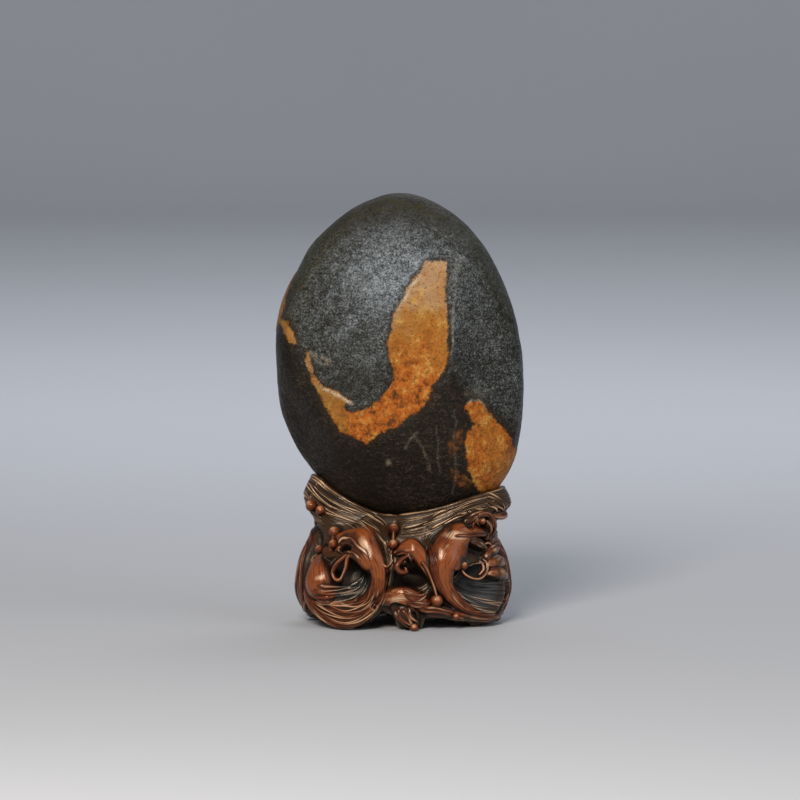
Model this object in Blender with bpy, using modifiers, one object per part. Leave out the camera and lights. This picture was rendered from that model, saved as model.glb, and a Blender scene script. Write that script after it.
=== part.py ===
"""A scholar's rock: a water-worn pebble standing on end in a carved hardwood stand of breaking waves.

The stone is one solid. The stand is carved from one block, so it is one solid too: a collar that
is cut to the stone's foot, a ring of breaking waves under it, rolls of water between the waves, and
drops of spray. Lengths are in millimetres until each mesh is scaled to metres at the end.
X is to the right, -Y is the front and Z is up, with the origin on the floor under the middle.
"""

import math

import bmesh
import bpy
import numpy as np
from mathutils import Matrix, Vector, noise
from mathutils.bvhtree import BVHTree

MM = 0.001
TAU = 2 * math.pi

# ---- stone -------------------------------------------------------------------------------------
STONE_CENTRE = Vector((0.0, 0.0, 156.5))
# Radius of the stone's outline seen from the front, from its centre, every 15 degrees from +X up.
STONE_OUTLINE = (
    74.7, 74.6, 78.0, 83.3, 91.6, 100.3, 104.8, 100.4, 93.4, 86.7, 81.8, 77.5,
    75.4, 75.8, 78.4, 81.6, 85.2, 89.4, 93.4, 96.6, 96.4, 91.9, 83.6, 77.0,
)
STONE_FRONT_DEPTH = 46.0
STONE_BACK_DEPTH = 39.0
STONE_FULLNESS = 2.3  # 2 is an ellipsoid, more is boxier
STONE_CUTS = 12
# Worn faces: the way each one looks out, and its distance from the centre.
STONE_FACES = (
    ((-0.17, -0.97, 0.16), 37.6),  # broad face that dips to the lower left
    ((-0.06, -0.90, 0.43), 55.0),  # upper face that catches the light
    ((-0.04, -0.93, -0.37), 55.5),  # foot of the front, turned down
    ((0.52, -0.85, 0.04), 50.5),  # right flank
    ((-0.72, -0.60, -0.35), 64.5),  # lower left flank
    ((0.30, 0.93, 0.20), 46.0),  # back, to the right
    ((-0.42, 0.89, -0.16), 45.0),  # back, to the left
)
STONE_BLEND = 0.75  # how sharply the worn faces meet, per millimetre
DISH_CENTRE = (-30.0, 10.0)  # shallow hollow in the broad face, in front view from the centre
DISH_RADII = (40.0, 50.0)
DISH_DEPTH = 3.0
LUMP_SIZE = 30.0
LUMP_HEIGHT = 0.9

# ---- stand -------------------------------------------------------------------------------------
STAND_SHIFT = Vector((2.0, 0.0, 0.0))
OVAL_HALF_WIDTH = 60.0
OVAL_HALF_DEPTH = 42.0
OVAL_FULLNESS = 2.4
OVAL_STATIONS = 720
# How wide the stand is at each height, as a share of the oval.
STAND_PROFILE = ((0, 0.95), (20, 1.03), (38, 0.98), (50, 0.86))
WAIST_HEIGHT = 50.0
SIDE_STATIONS = 280
SIDE_LEVELS = 76
SOCKET_GAP = 0.35
VOXEL = 1.2
STAND_TRIANGLES = 5900
FLOOR_DEPTH = 20.0
SEAT_CENTRE = Vector((4.0, 0.0, 0.0))
LIP_THICKNESS = 3.2

# Plan angle from the front towards the right in degrees, and there: height of the lip, and how
# far the collar swells out between the waist and the lip.
LIP = (
    (-90, 90.0, 8.5), (-78, 88.5, 8.0), (-72, 78.5, 6.5), (-60, 71.5, 5.0), (-48, 68.0, 4.0),
    (-24, 67.5, 3.0), (0, 68.5, 3.0), (24, 70.5, 3.5), (42, 73.5, 4.5), (60, 79.0, 6.5),
    (78, 82.5, 8.0), (92, 82.5, 9.0), (120, 78.0, 6.5), (150, 72.0, 3.5), (180, 70.0, 3.0),
    (212, 74.0, 4.5), (240, 82.0, 6.5), (256, 88.0, 8.0),
)
# How high the stand's lower edge is off the floor, at each distance round the oval.
FEET = (
    (-83.4, 4.0), (-70, 6.0), (-58, 2.0), (-50, -1.5), (-29, -1.5), (-21, 4.0), (-14, 10.5),
    (-7, 8.0), (-2, -1.5), (11, -1.5), (15, 6.0), (26, 6.5), (34, 4.0), (44, 3.0), (52, -1.5),
    (71, -1.5), (80, 3.0), (83.4, 4.0),
)
BOWLS_AFTER = 1  # the deep hollows are cut after this many ribbons
GROUND = -2.5  # how far the block sits out from the oval before the waves are carved

# Ribbons of water on the stand's side. Each is: the halves of the stand that have it (0 is the
# front), how soft its edge is, and its rows. A row is:
# distance round the oval, height, half width, how far it stands out, how much further its right
# edge stands out than its left one, and how far its middle stands above its edges.
RIBBONS = (
    ((0, 1), 2.0, (  # valley left
        (-41.1, 63.6, 4.9, -1, 0, 0),
        (-23.2, 58.8, 4.9, -1.5, 0, 0),
        (-11.9, 50.4, 4.3, -2.5, 0, 0),
        (-10.1, 41.5, 3.6, -4, 0, 0),
        (-10.7, 29.7, 3.6, -5, 0, 0),
        (-10.4, 19.2, 4.3, -3, 0, 0),
    )),
    ((0, 1), 2.0, (  # valley right
        (36.3, 67.4, 4.9, -1, 0, 0),
        (24.7, 63.3, 4.3, -1.5, 0, 0),
        (18.5, 54.9, 3.6, -2.5, 0, 0),
        (18.2, 44.8, 3.6, -3, 0, 0),
        (20.0, 32.6, 3.6, -3, 0, 0),
        (23.8, 22.1, 3.6, -1, 0, 0),
    )),
    ((0, 1), 1.2, (  # left wave
        (-67.0, 20.2, 3.0, 2, 0, 1),
        (-56.3, 13.1, 4.9, 3, 2, 1.5),
        (-45.6, 8.9, 6.7, 3.5, 4, 1.5),
        (-34.2, 9.6, 7.9, 4.5, 5, 1.5),
        (-24.1, 14.1, 7.3, 4, 4, 1.5),
        (-17.6, 21.1, 6.1, 4, 3, 2),
        (-14.9, 30.7, 5.5, 4.5, 1.5, 2.5),
        (-16.4, 38.7, 7.3, 6, 1, 3.5),
        (-23.5, 45.5, 9.1, 8, 0, 4.5),
        (-33.1, 51.1, 9.1, 8.5, 0, 4.5),
        (-42.0, 51.4, 7.3, 7, -1, 3.5),
        (-50.0, 50.3, 4.3, 3, -1, 2),
    )),
    ((0, 1), 1.5, (  # side lobe
        (-47.9, 42.8, 3.0, -1, 0, 1),
        (-56.3, 41.3, 4.3, 2, 0, 1.5),
        (-61.1, 37.4, 4.9, 4.5, 0, 3),
        (-62.5, 29.0, 6.1, 6, 0, 4),
        (-57.2, 21.5, 6.1, 6, 0, 4),
        (-48.5, 20.4, 5.5, 3, 0, 3),
        (-42.0, 23.1, 2.4, -3, 0, 1),
    )),
    ((0, 1), 1.2, (  # middle dome
        (-3.6, 46.1, 2.4, 3, 0, 1.5),
        (1.2, 47.7, 5.5, 5, 0, 3),
        (7.1, 47.1, 7.3, 7, 0, 3.5),
        (11.6, 42.7, 5.5, 6, 0, 3),
        (14.9, 37.2, 3.0, 4, 0, 2),
        (17.0, 30.6, 1.8, 3, 0, 1.5),
    )),
    ((0, 1), 1.5, (  # lower roll
        (-13.7, 17.3, 3.0, 2, 0, 1),
        (-7.1, 18.8, 5.5, 5, -1, 2.5),
        (0.3, 19.7, 6.7, 7.5, -1, 3),
        (8.0, 17.8, 5.5, 6, -1, 2.5),
        (15.8, 14.6, 4.9, 3.5, 0, 1.5),
        (25.6, 12.3, 4.3, 2.5, 0, 1),
        (36.0, 8.9, 3.0, 2, 0, 1),
    )),
    ((0, 1), 1.2, (  # right wave
        (65.8, 51.5, 2.4, 2.5, 0, 1.5),
        (51.5, 57.8, 5.5, 5.5, 0, 3),
        (41.4, 55.3, 9.1, 8.5, 0, 4.5),
        (30.7, 45.7, 13.4, 10.5, 0, 5),
        (25.3, 38.0, 10.3, 9.5, 0, 4),
        (24.7, 31.1, 7.3, 7, 0, 3),
        (27.4, 23.8, 4.9, 5, 0, 2),
        (33.4, 18.2, 3.6, 4, 0, 1.5),
        (42.6, 11.1, 3.6, 4, 0, 1),
        (54.8, 6.9, 3.0, 4, 0, 1),
        (70.6, 6.4, 2.4, 3, 0, 1),
    )),
    ((0, 1), 1.2, (  # right shell
        (56.0, 45.9, 3.6, 2, 0, 1.5),
        (59.9, 40.7, 4.9, 4, 0, 2),
        (62.8, 34.9, 4.9, 5, 0, 2),
        (68.5, 25.3, 3.6, 4.5, 0, 2),
        (71.5, 17.7, 3.6, 4.5, 0, 2),
        (71.2, 9.0, 3.0, 3.5, 0, 1),
    )),
    ((0, 1), 1.2, (  # front foot
        (-4.5, 14.2, 3.6, 2, 0, 1),
        (-0.9, 11.8, 4.9, 4.5, 0, 1.5),
        (3.6, 7.2, 4.3, 6, 0, 1.5),
        (6.6, 2.3, 2.4, 6, 0, 1),
    )),
    ((0, 1), 1.5, (  # side roll
        (74, 6, 5, 2, 0, 1),
        (84, 13, 7, 3, -1, 2),
        (91, 25, 7, 4.5, -1, 2.5),
        (91, 38, 7, 5, 0, 2.5),
        (84, 49, 8, 5.5, 0, 3),
        (74, 52, 6, 3, 0, 2),
    )),
    ((0,), 1.2, (  # upper right
        (44.4, 64.5, 3.0, 1, 0, 1),
        (49.4, 67.6, 3.6, 2.5, 0, 1),
        (54.5, 66.1, 3.0, 3.5, 0, 2),
        (61.1, 60.6, 3.0, 3, 0, 2),
        (64.0, 53.8, 2.4, 2, 0, 1),
    )),
)
# Hollows: distance round the oval, height, half width, half height, shift of the deepest point
# (along, up), how far out the rim and the deepest point are, and how steeply it falls.
BOWLS = (
    (2.2, 32.6, 14.1, 7.9, 0.2, 2.6, -3, -15, 0.8),  # middle hollow
    (-39.8, 30.6, 20.1, 16.4, -4.6, 5.4, -1, -17, 0.8),  # left bowl
    (50.5, 22.9, 22.5, 17.0, -13.0, 8.0, 1, -14, 0.75),  # right bowl
    (53.0, 61.6, 4.8, 4.3, -0.3, 0.1, 0, -6, 0.8),  # upper right bowl
)
# Drops of spray: distance round the oval, height, how far its centre is off the side, radius.
DROPS = (
    (-69.4, 72.4, 1.6, 3.6),
    (-65.8, 70.0, 1.6, 3.2),
    (-55.1, 57.6, 2, 3.5),
    (-50.9, 50.0, 1.2, 3.0),
    (-9.5, 60.5, 2, 3.4),
    (-7.4, 51.5, 2, 3.3),
    (19.4, 18.4, 2, 3.6),
    (6.6, 3.0, 0.8, 2.6),
    (-64.0, 46.1, 1.2, 2.8),
    (31.6, 8.4, 1, 2.2),
    (66.4, 67.4, 1.2, 2.6),
)
# Hooks and threads of spray. A row is: distance round the oval, height, distance out, radius.
TUBES = (
    (  # middle hook
        (6.3, 42.1, 6, 2.4),
        (0.6, 41.4, 6.5, 2.2),
        (-3.9, 38.3, 6.5, 1.9),
        (-2.7, 34.9, 6, 1.8),
        (2.4, 34.9, 5, 1.6),
    ),
    (  # drip
        (12.8, 40.0, 5, 2.4),
        (15.8, 33.7, 5, 1.8),
        (17.9, 26.4, 4.5, 1.6),
        (19.4, 19.5, 4.5, 1.8),
    ),
    (  # small hook
        (-9.2, 35.5, 1, 1.5),
        (-13.1, 38.9, 3, 1.5),
        (-10.4, 37.3, 4, 1.3),
        (-7.1, 40.7, 3, 1.0),
    ),
    (  # left foam
        (-33.7, 47.6, 4, 1.8),
        (-36.6, 43.8, 1, 1.6),
        (-40.8, 40.9, 0, 1.5),
        (-44.7, 34.9, -1, 1.5),
        (-40.5, 29.7, -1, 1.5),
        (-36.0, 34.1, -1, 1.3),
        (-35.4, 41.2, 0, 1.5),
        (-34.0, 46.0, 3, 1.5),
    ),
    (  # right foam
        (29.5, 34.1, 2, 1.7),
        (35.7, 30.3, 0, 1.6),
        (42.9, 29.5, 0, 1.5),
        (50.6, 31.4, 1, 1.5),
        (53.9, 36.2, 1, 1.3),
        (50.9, 40.6, 0, 1.3),
    ),
    (  # drop stem
        (-17.0, 66.7, 0, 1.3),
        (-9.2, 58.7, 0.6, 1.3),
        (-7.7, 52.7, 0.4, 1.5),
        (-9.2, 46.3, -2, 1.3),
    ),
    (  # left stem
        (-64.0, 63.8, -1, 1.8),
        (-57.2, 58.7, 1, 2.4),
        (-51.8, 47.7, 1.5, 2.6),
        (-50.6, 43.1, 0, 1.6),
    ),
)
# The hollow under the seat: half width, half depth, height.
CORE = (31.0, 20.0, 47.0)
# Slits cut through to the hollow: distance round the oval, height, half width, half height.
SLITS = ((-31.5, 33.5, 2.2, 4.5), (33.0, 31.5, 2.0, 3.6))
SLIT_LENGTH = 60.0

COLOURS = {
    "stone": ((0.035, 0.042, 0.042, 1.0), 0.42),
    "stand": ((0.085, 0.034, 0.018, 1.0), 0.38),
}


def spline(points, t):
    """The point at t, from 0 to 1, of a smooth curve through the given tuples of numbers."""
    spans = len(points) - 1
    at = min(max(t, 0.0), 1.0) * spans
    i = min(int(at), spans - 1)
    f = at - i
    p0, p1 = points[max(i - 1, 0)], points[i]
    p2, p3 = points[i + 1], points[min(i + 2, spans)]
    return tuple(
        b + 0.5 * f * (c - a + f * (2 * a - 5 * b + 4 * c - d + f * (3 * (b - c) + d - a)))
        for a, b, c, d in zip(p0, p1, p2, p3)
    )


def ring_value(values, turn):
    """A value, at a share of a turn, of a smooth closed curve through evenly spaced values."""
    count = len(values)
    at = (turn % 1.0) * count
    i = int(at) % count
    four = [(values[(i + k) % count],) for k in (-1, 0, 1, 2)]
    return spline(four, (1 + at - int(at)) / 3)[0]


# ---- stone -------------------------------------------------------------------------------------
def stone_radius(d):
    """Distance from the stone's centre to its skin in the direction d."""
    flat = math.hypot(d.x, d.z)
    outline = ring_value(STONE_OUTLINE, math.atan2(d.z, d.x) / TAU)
    depth = STONE_FRONT_DEPTH if d.y < 0 else STONE_BACK_DEPTH
    round_body = (flat / outline) ** STONE_FULLNESS + (abs(d.y) / depth) ** STONE_FULLNESS
    whole = round_body ** (-1 / STONE_FULLNESS)
    near = math.exp(-STONE_BLEND * whole)
    for normal, distance in STONE_FACES:
        towards = Vector(normal).normalized().dot(d)
        if towards > 0.05:
            near += math.exp(-STONE_BLEND * distance / towards)
    return -math.log(near) / STONE_BLEND


def stone_point(d):
    """The point of the stone's skin in the direction d, with its dish and its low lumps."""
    point = d * stone_radius(d)
    if d.y < 0:
        across = (point.x - DISH_CENTRE[0]) / DISH_RADII[0]
        up = (point.z - DISH_CENTRE[1]) / DISH_RADII[1]
        point.y += DISH_DEPTH * max(0.0, 1 - across * across - up * up) ** 1.3
    lump = noise.noise(point / LUMP_SIZE) * LUMP_HEIGHT
    return STONE_CENTRE + point + d * lump


def stone_mesh():
    """The stone's skin: a cube cut into a grid, with each corner of the grid pushed out to it."""
    bm = bmesh.new()
    bmesh.ops.create_cube(bm, size=2.0)
    bmesh.ops.subdivide_edges(bm, edges=bm.edges[:], cuts=STONE_CUTS, use_grid_fill=True)
    for vert in bm.verts:
        even = Vector([math.tan(c * math.pi / 4) for c in vert.co])
        vert.co = stone_point(even.normalized())
    bmesh.ops.recalc_face_normals(bm, faces=bm.faces[:])
    return bm


# ---- stand -------------------------------------------------------------------------------------
def oval_points():
    """Points of the stand's plan, evenly spaced, from the middle of the front to the right."""
    power = 2 / OVAL_FULLNESS
    angles = np.linspace(0, TAU, OVAL_STATIONS * 4 + 1)
    s, c = np.sin(angles), np.cos(angles)
    x = OVAL_HALF_WIDTH * np.sign(s) * np.abs(s) ** power
    y = -OVAL_HALF_DEPTH * np.sign(c) * np.abs(c) ** power
    lengths = np.concatenate([[0.0], np.cumsum(np.hypot(np.diff(x), np.diff(y)))])
    even = np.linspace(0, lengths[-1], OVAL_STATIONS + 1)[:-1]
    return np.stack([np.interp(even, lengths, x), np.interp(even, lengths, y)], axis=1), lengths[-1]


OVAL, OVAL_LENGTH = oval_points()


def oval_at(distance):
    """The plan's point at a distance round it from the middle of the front."""
    at = (distance / OVAL_LENGTH) % 1.0 * OVAL_STATIONS
    i, share = int(at) % OVAL_STATIONS, at - int(at)
    plan = OVAL[i] * (1 - share) + OVAL[(i + 1) % OVAL_STATIONS] * share
    return Vector((plan[0], plan[1], 0.0))


def lip_row(angle):
    """(lip height, swell) of the collar at a plan angle in degrees."""
    rows = [LIP[-1], *LIP, LIP[0], LIP[1]]
    angles = [LIP[-1][0] - 360] + [row[0] for row in LIP] + [LIP[0][0] + 360, LIP[1][0] + 360]
    angle = (angle + 90) % 360 - 90
    for i in range(1, len(rows) - 2):
        if angles[i] <= angle < angles[i + 1]:
            share = (angle - angles[i]) / (angles[i + 1] - angles[i])
            return spline([row[1:] for row in rows[i - 1:i + 3]], (1 + share) / 3)
    return LIP[0][1:]


def local_distance(distance, half):
    """Distances round the oval as seen by the front (half 0) or the back (half 1) of the carving."""
    shifted = distance - half * OVAL_LENGTH / 2 + OVAL_LENGTH / 2
    return shifted % OVAL_LENGTH - OVAL_LENGTH / 2


def smooth(x):
    """Soft step from 0 to 1."""
    x = np.clip(x, 0.0, 1.0)
    return x * x * (3 - 2 * x)


def carve_ribbon(relief, along, up, edge, rows):
    """Lays one ribbon of water over the relief."""
    steps = np.linspace(0, 1, 14 * (len(rows) - 1) + 1)
    line = np.array([spline(rows, t) for t in steps])
    reach = line[:, 2].max() + edge + 2
    near = (along > line[:, 0].min() - reach) & (along < line[:, 0].max() + reach)
    near &= (up > line[:, 1].min() - reach) & (up < line[:, 1].max() + reach)
    here = np.stack([along[near], up[near]], axis=1)
    ahead = np.gradient(line[:, :2], axis=0)
    gap = here[:, None, :] - line[None, :, :2]
    far = np.hypot(gap[..., 0], gap[..., 1])
    best = np.argmin(far / line[None, :, 2] ** 0.5, axis=1)
    pick = np.arange(len(here))
    side = np.sign(gap[pick, best, 0] * ahead[best, 1] - gap[pick, best, 1] * ahead[best, 0])
    half, height, tilt, crown = line[best, 2:6].T
    off = np.clip(far[pick, best] / half, 0, 1.3)
    form = height + tilt * side * off - crown * off ** 2.4
    share = smooth((1 - off) * half / edge + 0.5)
    relief[near] += (form - relief[near]) * share


def carve_bowl(relief, along, up, row):
    """Cuts one hollow into the relief."""
    centre, height, half_width, half_height, shift, lift, rim, deepest, power = row
    rho = np.ones_like(along)
    for _ in range(8):
        x = (along - centre - shift * (1 - rho)) / half_width
        y = (up - height - lift * (1 - rho)) / half_height
        rho = np.clip(0.5 * rho + 0.5 * np.hypot(x, y), 0, 1.3)
    form = rim + (deepest - rim) * np.clip(1 - rho ** 2, 0, 1) ** power
    share = smooth((1 - rho) * min(half_width, half_height) / 1.2 + 0.3)
    relief += (form - relief) * share


def carve(distance, height):
    """How far out the carved side stands, at arrays of distance round the oval and height."""
    relief = np.full(distance.shape, GROUND)
    for index, (halves, edge, rows) in enumerate(RIBBONS):
        for half in halves:
            carve_ribbon(relief, local_distance(distance, half), height, edge, rows)
            if index == BOWLS_AFTER:
                for row in BOWLS:
                    carve_bowl(relief, local_distance(distance, half), height, row)
    return relief


class Side:
    """The stand's side before it is carved, from its lower edge up to the lip round the stone."""

    def __init__(self, stone):
        self.tree = BVHTree.FromBMesh(stone)
        self.foot = min(stone.verts, key=lambda vert: vert.co.z).co.copy()
        self.base = np.zeros((SIDE_STATIONS, SIDE_LEVELS, 3))
        self.seat = [self.column(i) for i in range(SIDE_STATIONS)]
        along = np.roll(self.base, -1, axis=0) - np.roll(self.base, 1, axis=0)
        self.out = np.cross(along, np.gradient(self.base, axis=1))
        self.out /= np.linalg.norm(self.out, axis=2, keepdims=True)

    def reach(self, start, towards):
        """Distance from a point to the stone's skin."""
        hit = self.tree.ray_cast(start, towards)[0]
        return (hit - start).length if hit else 0.0

    def column(self, i):
        """Fills one column of the side, and returns the points of the seat inside it."""
        distance = OVAL_LENGTH * i / SIDE_STATIONS
        rear = abs(local_distance(distance, 0)) > OVAL_LENGTH / 4
        low = float(np.interp(local_distance(distance, int(rear)), *zip(*FEET)))
        plan = oval_at(distance) + STAND_SHIFT - SEAT_CENTRE
        lip, swell = lip_row(math.degrees(math.atan2(plan.x, -plan.y)))
        towards = plan.normalized()
        lip_reach = self.reach(SEAT_CENTRE + Vector((0, 0, lip)), towards) + LIP_THICKNESS
        for j in range(SIDE_LEVELS):
            height = low + (lip - low) * j / (SIDE_LEVELS - 1)
            width = float(np.interp(min(height, WAIST_HEIGHT), *zip(*STAND_PROFILE)))
            point = oval_at(distance) * width + STAND_SHIFT
            if height > WAIST_HEIGHT:
                share = (height - WAIST_HEIGHT) / (lip - WAIST_HEIGHT)
                radius = (point - SEAT_CENTRE).length
                radius += (lip_reach - radius) * float(smooth(np.array(share)))
                radius += swell * math.sin(math.pi * share ** 1.7)
                point = SEAT_CENTRE + towards * radius
            self.base[i, j] = (point.x, point.y, height)
        rows = []
        for k in range(1, 13):
            height = self.foot.z + (lip - 0.3 - self.foot.z) * (1 - k / 12) ** 1.6
            middle = self.foot.lerp(SEAT_CENTRE, min(1.0, (height - self.foot.z) / 8.0))
            start = Vector((middle.x, middle.y, height + 0.02))
            rows.append(start + towards * (self.reach(start, towards) + 0.5))
        return rows

    def at(self, distance, height, out=0.0):
        """(point, outward direction) at a distance round the oval, a height and a distance out."""
        i = round(distance / OVAL_LENGTH * SIDE_STATIONS) % SIDE_STATIONS
        heights = self.base[i, :, 2]
        point = Vector([float(np.interp(height, heights, self.base[i, :, k])) for k in range(3)])
        outward = [float(np.interp(height, heights, self.out[i, :, k])) for k in range(3)]
        outward = Vector(outward).normalized()
        point.z = height
        return point + outward * out, outward

    def carved(self):
        """The points of the side once the waves are carved in it."""
        distance = np.arange(SIDE_STATIONS)[:, None] * OVAL_LENGTH / SIDE_STATIONS
        height = self.base[..., 2]
        relief = carve(np.repeat(distance, SIDE_LEVELS, axis=1), height)
        relief = relief * smooth(np.linspace(1, 0, SIDE_LEVELS) / 0.10) + 0.3
        above = height - height[:, :1]
        relief -= 3.0 * (1 - np.clip(above / 4.0, 0, 1)) ** 2
        return self.base + self.out * relief[..., None]


def block(side):
    """The carved block: its side, its lip, the seat that follows the stone, and its underside."""
    carved = side.carved()
    bm = bmesh.new()
    columns = []
    under = Vector((STAND_SHIFT.x, 0.0, 8.0))
    for i in range(SIDE_STATIONS):
        edge = Vector(carved[i, 0])
        column = [bm.verts.new(under.lerp(edge, share)) for share in (0.5, 0.85)]
        column += [bm.verts.new(point) for point in carved[i]]
        column += [bm.verts.new(point) for point in side.seat[i]]
        columns.append(column)
    for a, b in zip(columns, columns[1:] + columns[:1]):
        for j in range(len(a) - 1):
            bm.faces.new((a[j], b[j], b[j + 1], a[j + 1]))
    bottom, top = bm.verts.new(under), bm.verts.new(side.foot - Vector((0, 0, 0.6)))
    for a, b in zip(columns, columns[1:] + columns[:1]):
        bm.faces.new((bottom, b[0], a[0]))
        bm.faces.new((top, a[-1], b[-1]))
    bmesh.ops.recalc_face_normals(bm, faces=bm.faces[:])
    return bm


def tube(side, rows, start=0.0, long_steps=24, round_steps=10):
    """A hook or a thread of spray, round in section, along its rows."""
    def spot(t):
        distance, height, out, radius = spline(rows, t)
        return *side.at(start + distance, height, out), radius

    def place(u, v):
        point, outward, radius = spot(u)
        along = (spot(min(u + 0.01, 1.0))[0] - spot(max(u - 0.01, 0.0))[0]).normalized()
        across = along.cross(outward).normalized()
        face = across.cross(along)
        radius *= math.sqrt(max(0.0, 1 - (2 * u - 1) ** 12))
        return point + across * radius * math.cos(TAU * v) + face * radius * math.sin(TAU * v)

    return bent_grid(long_steps, round_steps, place)


def bent_grid(long_steps, round_steps, place):
    """A grid bent to place(u, v), its seam welded and its ends filled, as a closed surface."""
    bm = bmesh.new()
    bmesh.ops.create_grid(bm, x_segments=long_steps, y_segments=round_steps, size=0.5)
    for vert in bm.verts:
        vert.co = place(vert.co.x + 0.5, vert.co.y + 0.5)
    bmesh.ops.remove_doubles(bm, verts=bm.verts[:], dist=0.01)
    open_edges = [edge for edge in bm.edges if edge.is_boundary]
    bmesh.ops.holes_fill(bm, edges=open_edges, sides=0)
    bmesh.ops.recalc_face_normals(bm, faces=bm.faces[:])
    return bm


def drop(side, tree, distance, height, above, radius):
    """A drop of spray that stands on the carved side."""
    start, outward = side.at(distance, height, 30.0)
    centre = tree.ray_cast(start, -outward)[0] + outward * above
    bm = bmesh.new()
    bmesh.ops.create_icosphere(bm, subdivisions=2, radius=radius, matrix=Matrix.Translation(centre))
    return bm


def core():
    """The shape of the hollow under the seat: a dome on a straight-sided foot."""
    bm = bmesh.new()
    bmesh.ops.create_uvsphere(bm, u_segments=32, v_segments=20, radius=1.0)
    for vert in bm.verts:
        flat = max(vert.co.z, 0.0)
        spread = (1 - flat ** 3) ** (1 / 3) if vert.co.z > 0 else 1.0
        ring = Vector((vert.co.x, vert.co.y))
        ring = ring.normalized() * spread if ring.length > 1e-6 else ring
        height = flat * CORE[2] if vert.co.z > 0 else vert.co.z * 15
        vert.co = Vector((ring.x * CORE[0], ring.y * CORE[1], height)) + STAND_SHIFT
    return bm


def slit(side, distance, height, half_width, half_height):
    """A peg that cuts a slit through the side to the hollow."""
    point, outward = side.at(distance, height)
    along = Vector((0, 0, 1)).cross(outward)
    turned = Matrix((along, Vector((0, 0, 1)), -outward)).transposed().to_4x4()
    bm = bmesh.new()
    bmesh.ops.create_cone(
        bm, cap_ends=True, segments=12, radius1=1.0, radius2=1.0, depth=SLIT_LENGTH,
        matrix=Matrix.Translation(point) @ turned @ Matrix.Diagonal((half_width, half_height, 1, 1)),
    )
    bmesh.ops.recalc_face_normals(bm, faces=bm.faces[:])
    return bm


def stand_forms(side):
    """The carved block and the loose forms of spray that are fused to it."""
    forms = [block(side)]
    tree = BVHTree.FromBMesh(forms[0])
    for start in (0.0, OVAL_LENGTH / 2):
        forms += [drop(side, tree, start + row[0], *row[1:]) for row in DROPS]
        forms += [tube(side, rows, start) for rows in TUBES]
    return forms


# ---- scene -------------------------------------------------------------------------------------
def finish_object(name, bm, collection):
    """An object in metres from a bmesh in millimetres."""
    mesh = bpy.data.meshes.new(name)
    bm.to_mesh(mesh)
    mesh.transform(Matrix.Scale(MM, 4))
    obj = bpy.data.objects.new(name, mesh)
    collection.objects.link(obj)
    return obj


def paint(obj, name):
    """Gives an object its own material."""
    colour, roughness = COLOURS[name]
    material = bpy.data.materials.new(name)
    material.use_nodes = True
    shader = material.node_tree.nodes["Principled BSDF"]
    shader.inputs["Base Color"].default_value = colour
    shader.inputs["Roughness"].default_value = roughness
    obj.data.materials.append(material)
    obj.data.shade_smooth()


def hide_cutter(obj):
    """A cutter shapes another object and isn't part of the model."""
    obj.hide_render = True
    obj.display_type = "WIRE"


def subtract(obj, cutter, name):
    """Cuts an object by another."""
    cut = obj.modifiers.new(name, "BOOLEAN")
    cut.operation = "DIFFERENCE"
    cut.solver = "EXACT"
    cut.object = cutter


def main():
    for obj in list(bpy.data.objects):
        bpy.data.objects.remove(obj)
    parts = bpy.data.collections.new("scholars_rock")
    cutters = bpy.data.collections.new("cutters")
    for collection in (parts, cutters):
        bpy.context.scene.collection.children.link(collection)

    stone = stone_mesh()
    paint(finish_object("stone", stone, parts), "stone")

    block = bmesh.new()
    side = Side(stone)
    for form in stand_forms(side):
        loose = bpy.data.meshes.new("form")
        form.to_mesh(loose)
        block.from_mesh(loose)
        bpy.data.meshes.remove(loose)
        form.free()
    stand = finish_object("stand", block, parts)
    paint(stand, "stand")

    fuse = stand.modifiers.new("fuse", "REMESH")
    fuse.mode = "VOXEL"
    fuse.voxel_size = VOXEL * MM
    soften = stand.modifiers.new("soften", "SMOOTH")
    soften.factor = 0.5
    soften.iterations = 2
    thin = stand.modifiers.new("thin", "DECIMATE")
    graph = bpy.context.evaluated_depsgraph_get()
    full = stand.evaluated_get(graph).to_mesh()
    full.calc_loop_triangles()
    thin.ratio = min(1.0, STAND_TRIANGLES / len(full.loop_triangles))

    socket = stone_mesh()
    for vert in socket.verts:
        vert.co += vert.normal * SOCKET_GAP
    socket = finish_object("socket_cutter", socket, cutters)
    hide_cutter(socket)
    subtract(stand, socket, "socket")

    hollow = finish_object("hollow_cutter", core(), cutters)
    hide_cutter(hollow)
    subtract(stand, hollow, "hollow")
    for number, row in enumerate(SLITS):
        for half in (0.0, OVAL_LENGTH / 2):
            peg = finish_object("slit_cutter", slit(side, row[0] + half, *row[1:]), cutters)
            hide_cutter(peg)
            subtract(stand, peg, f"slit_{number}")

    under = bmesh.new()
    bmesh.ops.create_cube(under, size=1.0)
    bmesh.ops.scale(under, vec=(400, 400, FLOOR_DEPTH), verts=under.verts[:])
    bmesh.ops.translate(under, vec=(0, 0, -FLOOR_DEPTH / 2), verts=under.verts[:])
    under = finish_object("floor_cutter", under, cutters)
    hide_cutter(under)
    subtract(stand, under, "floor")


main()
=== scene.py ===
"""A scholar's rock: a water-worn pebble on end in a carved hardwood stand of breaking waves.

The stone and the stand are each modelled as one fine closed surface over the fixed frame, with
the drops and threads of spray as small carved pieces of their own. Lengths are in millimetres
until a mesh is scaled to metres at the end. X is to the right, -Y is the front and Z is up.
"""

from __future__ import annotations

import logging
import math
from dataclasses import dataclass
from enum import Enum

import bmesh
import bpy
import numpy as np
from bpy.types import Material, Mesh, Node, NodeSocket, Object
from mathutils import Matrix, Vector, noise
from mathutils.bvhtree import BVHTree

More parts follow.
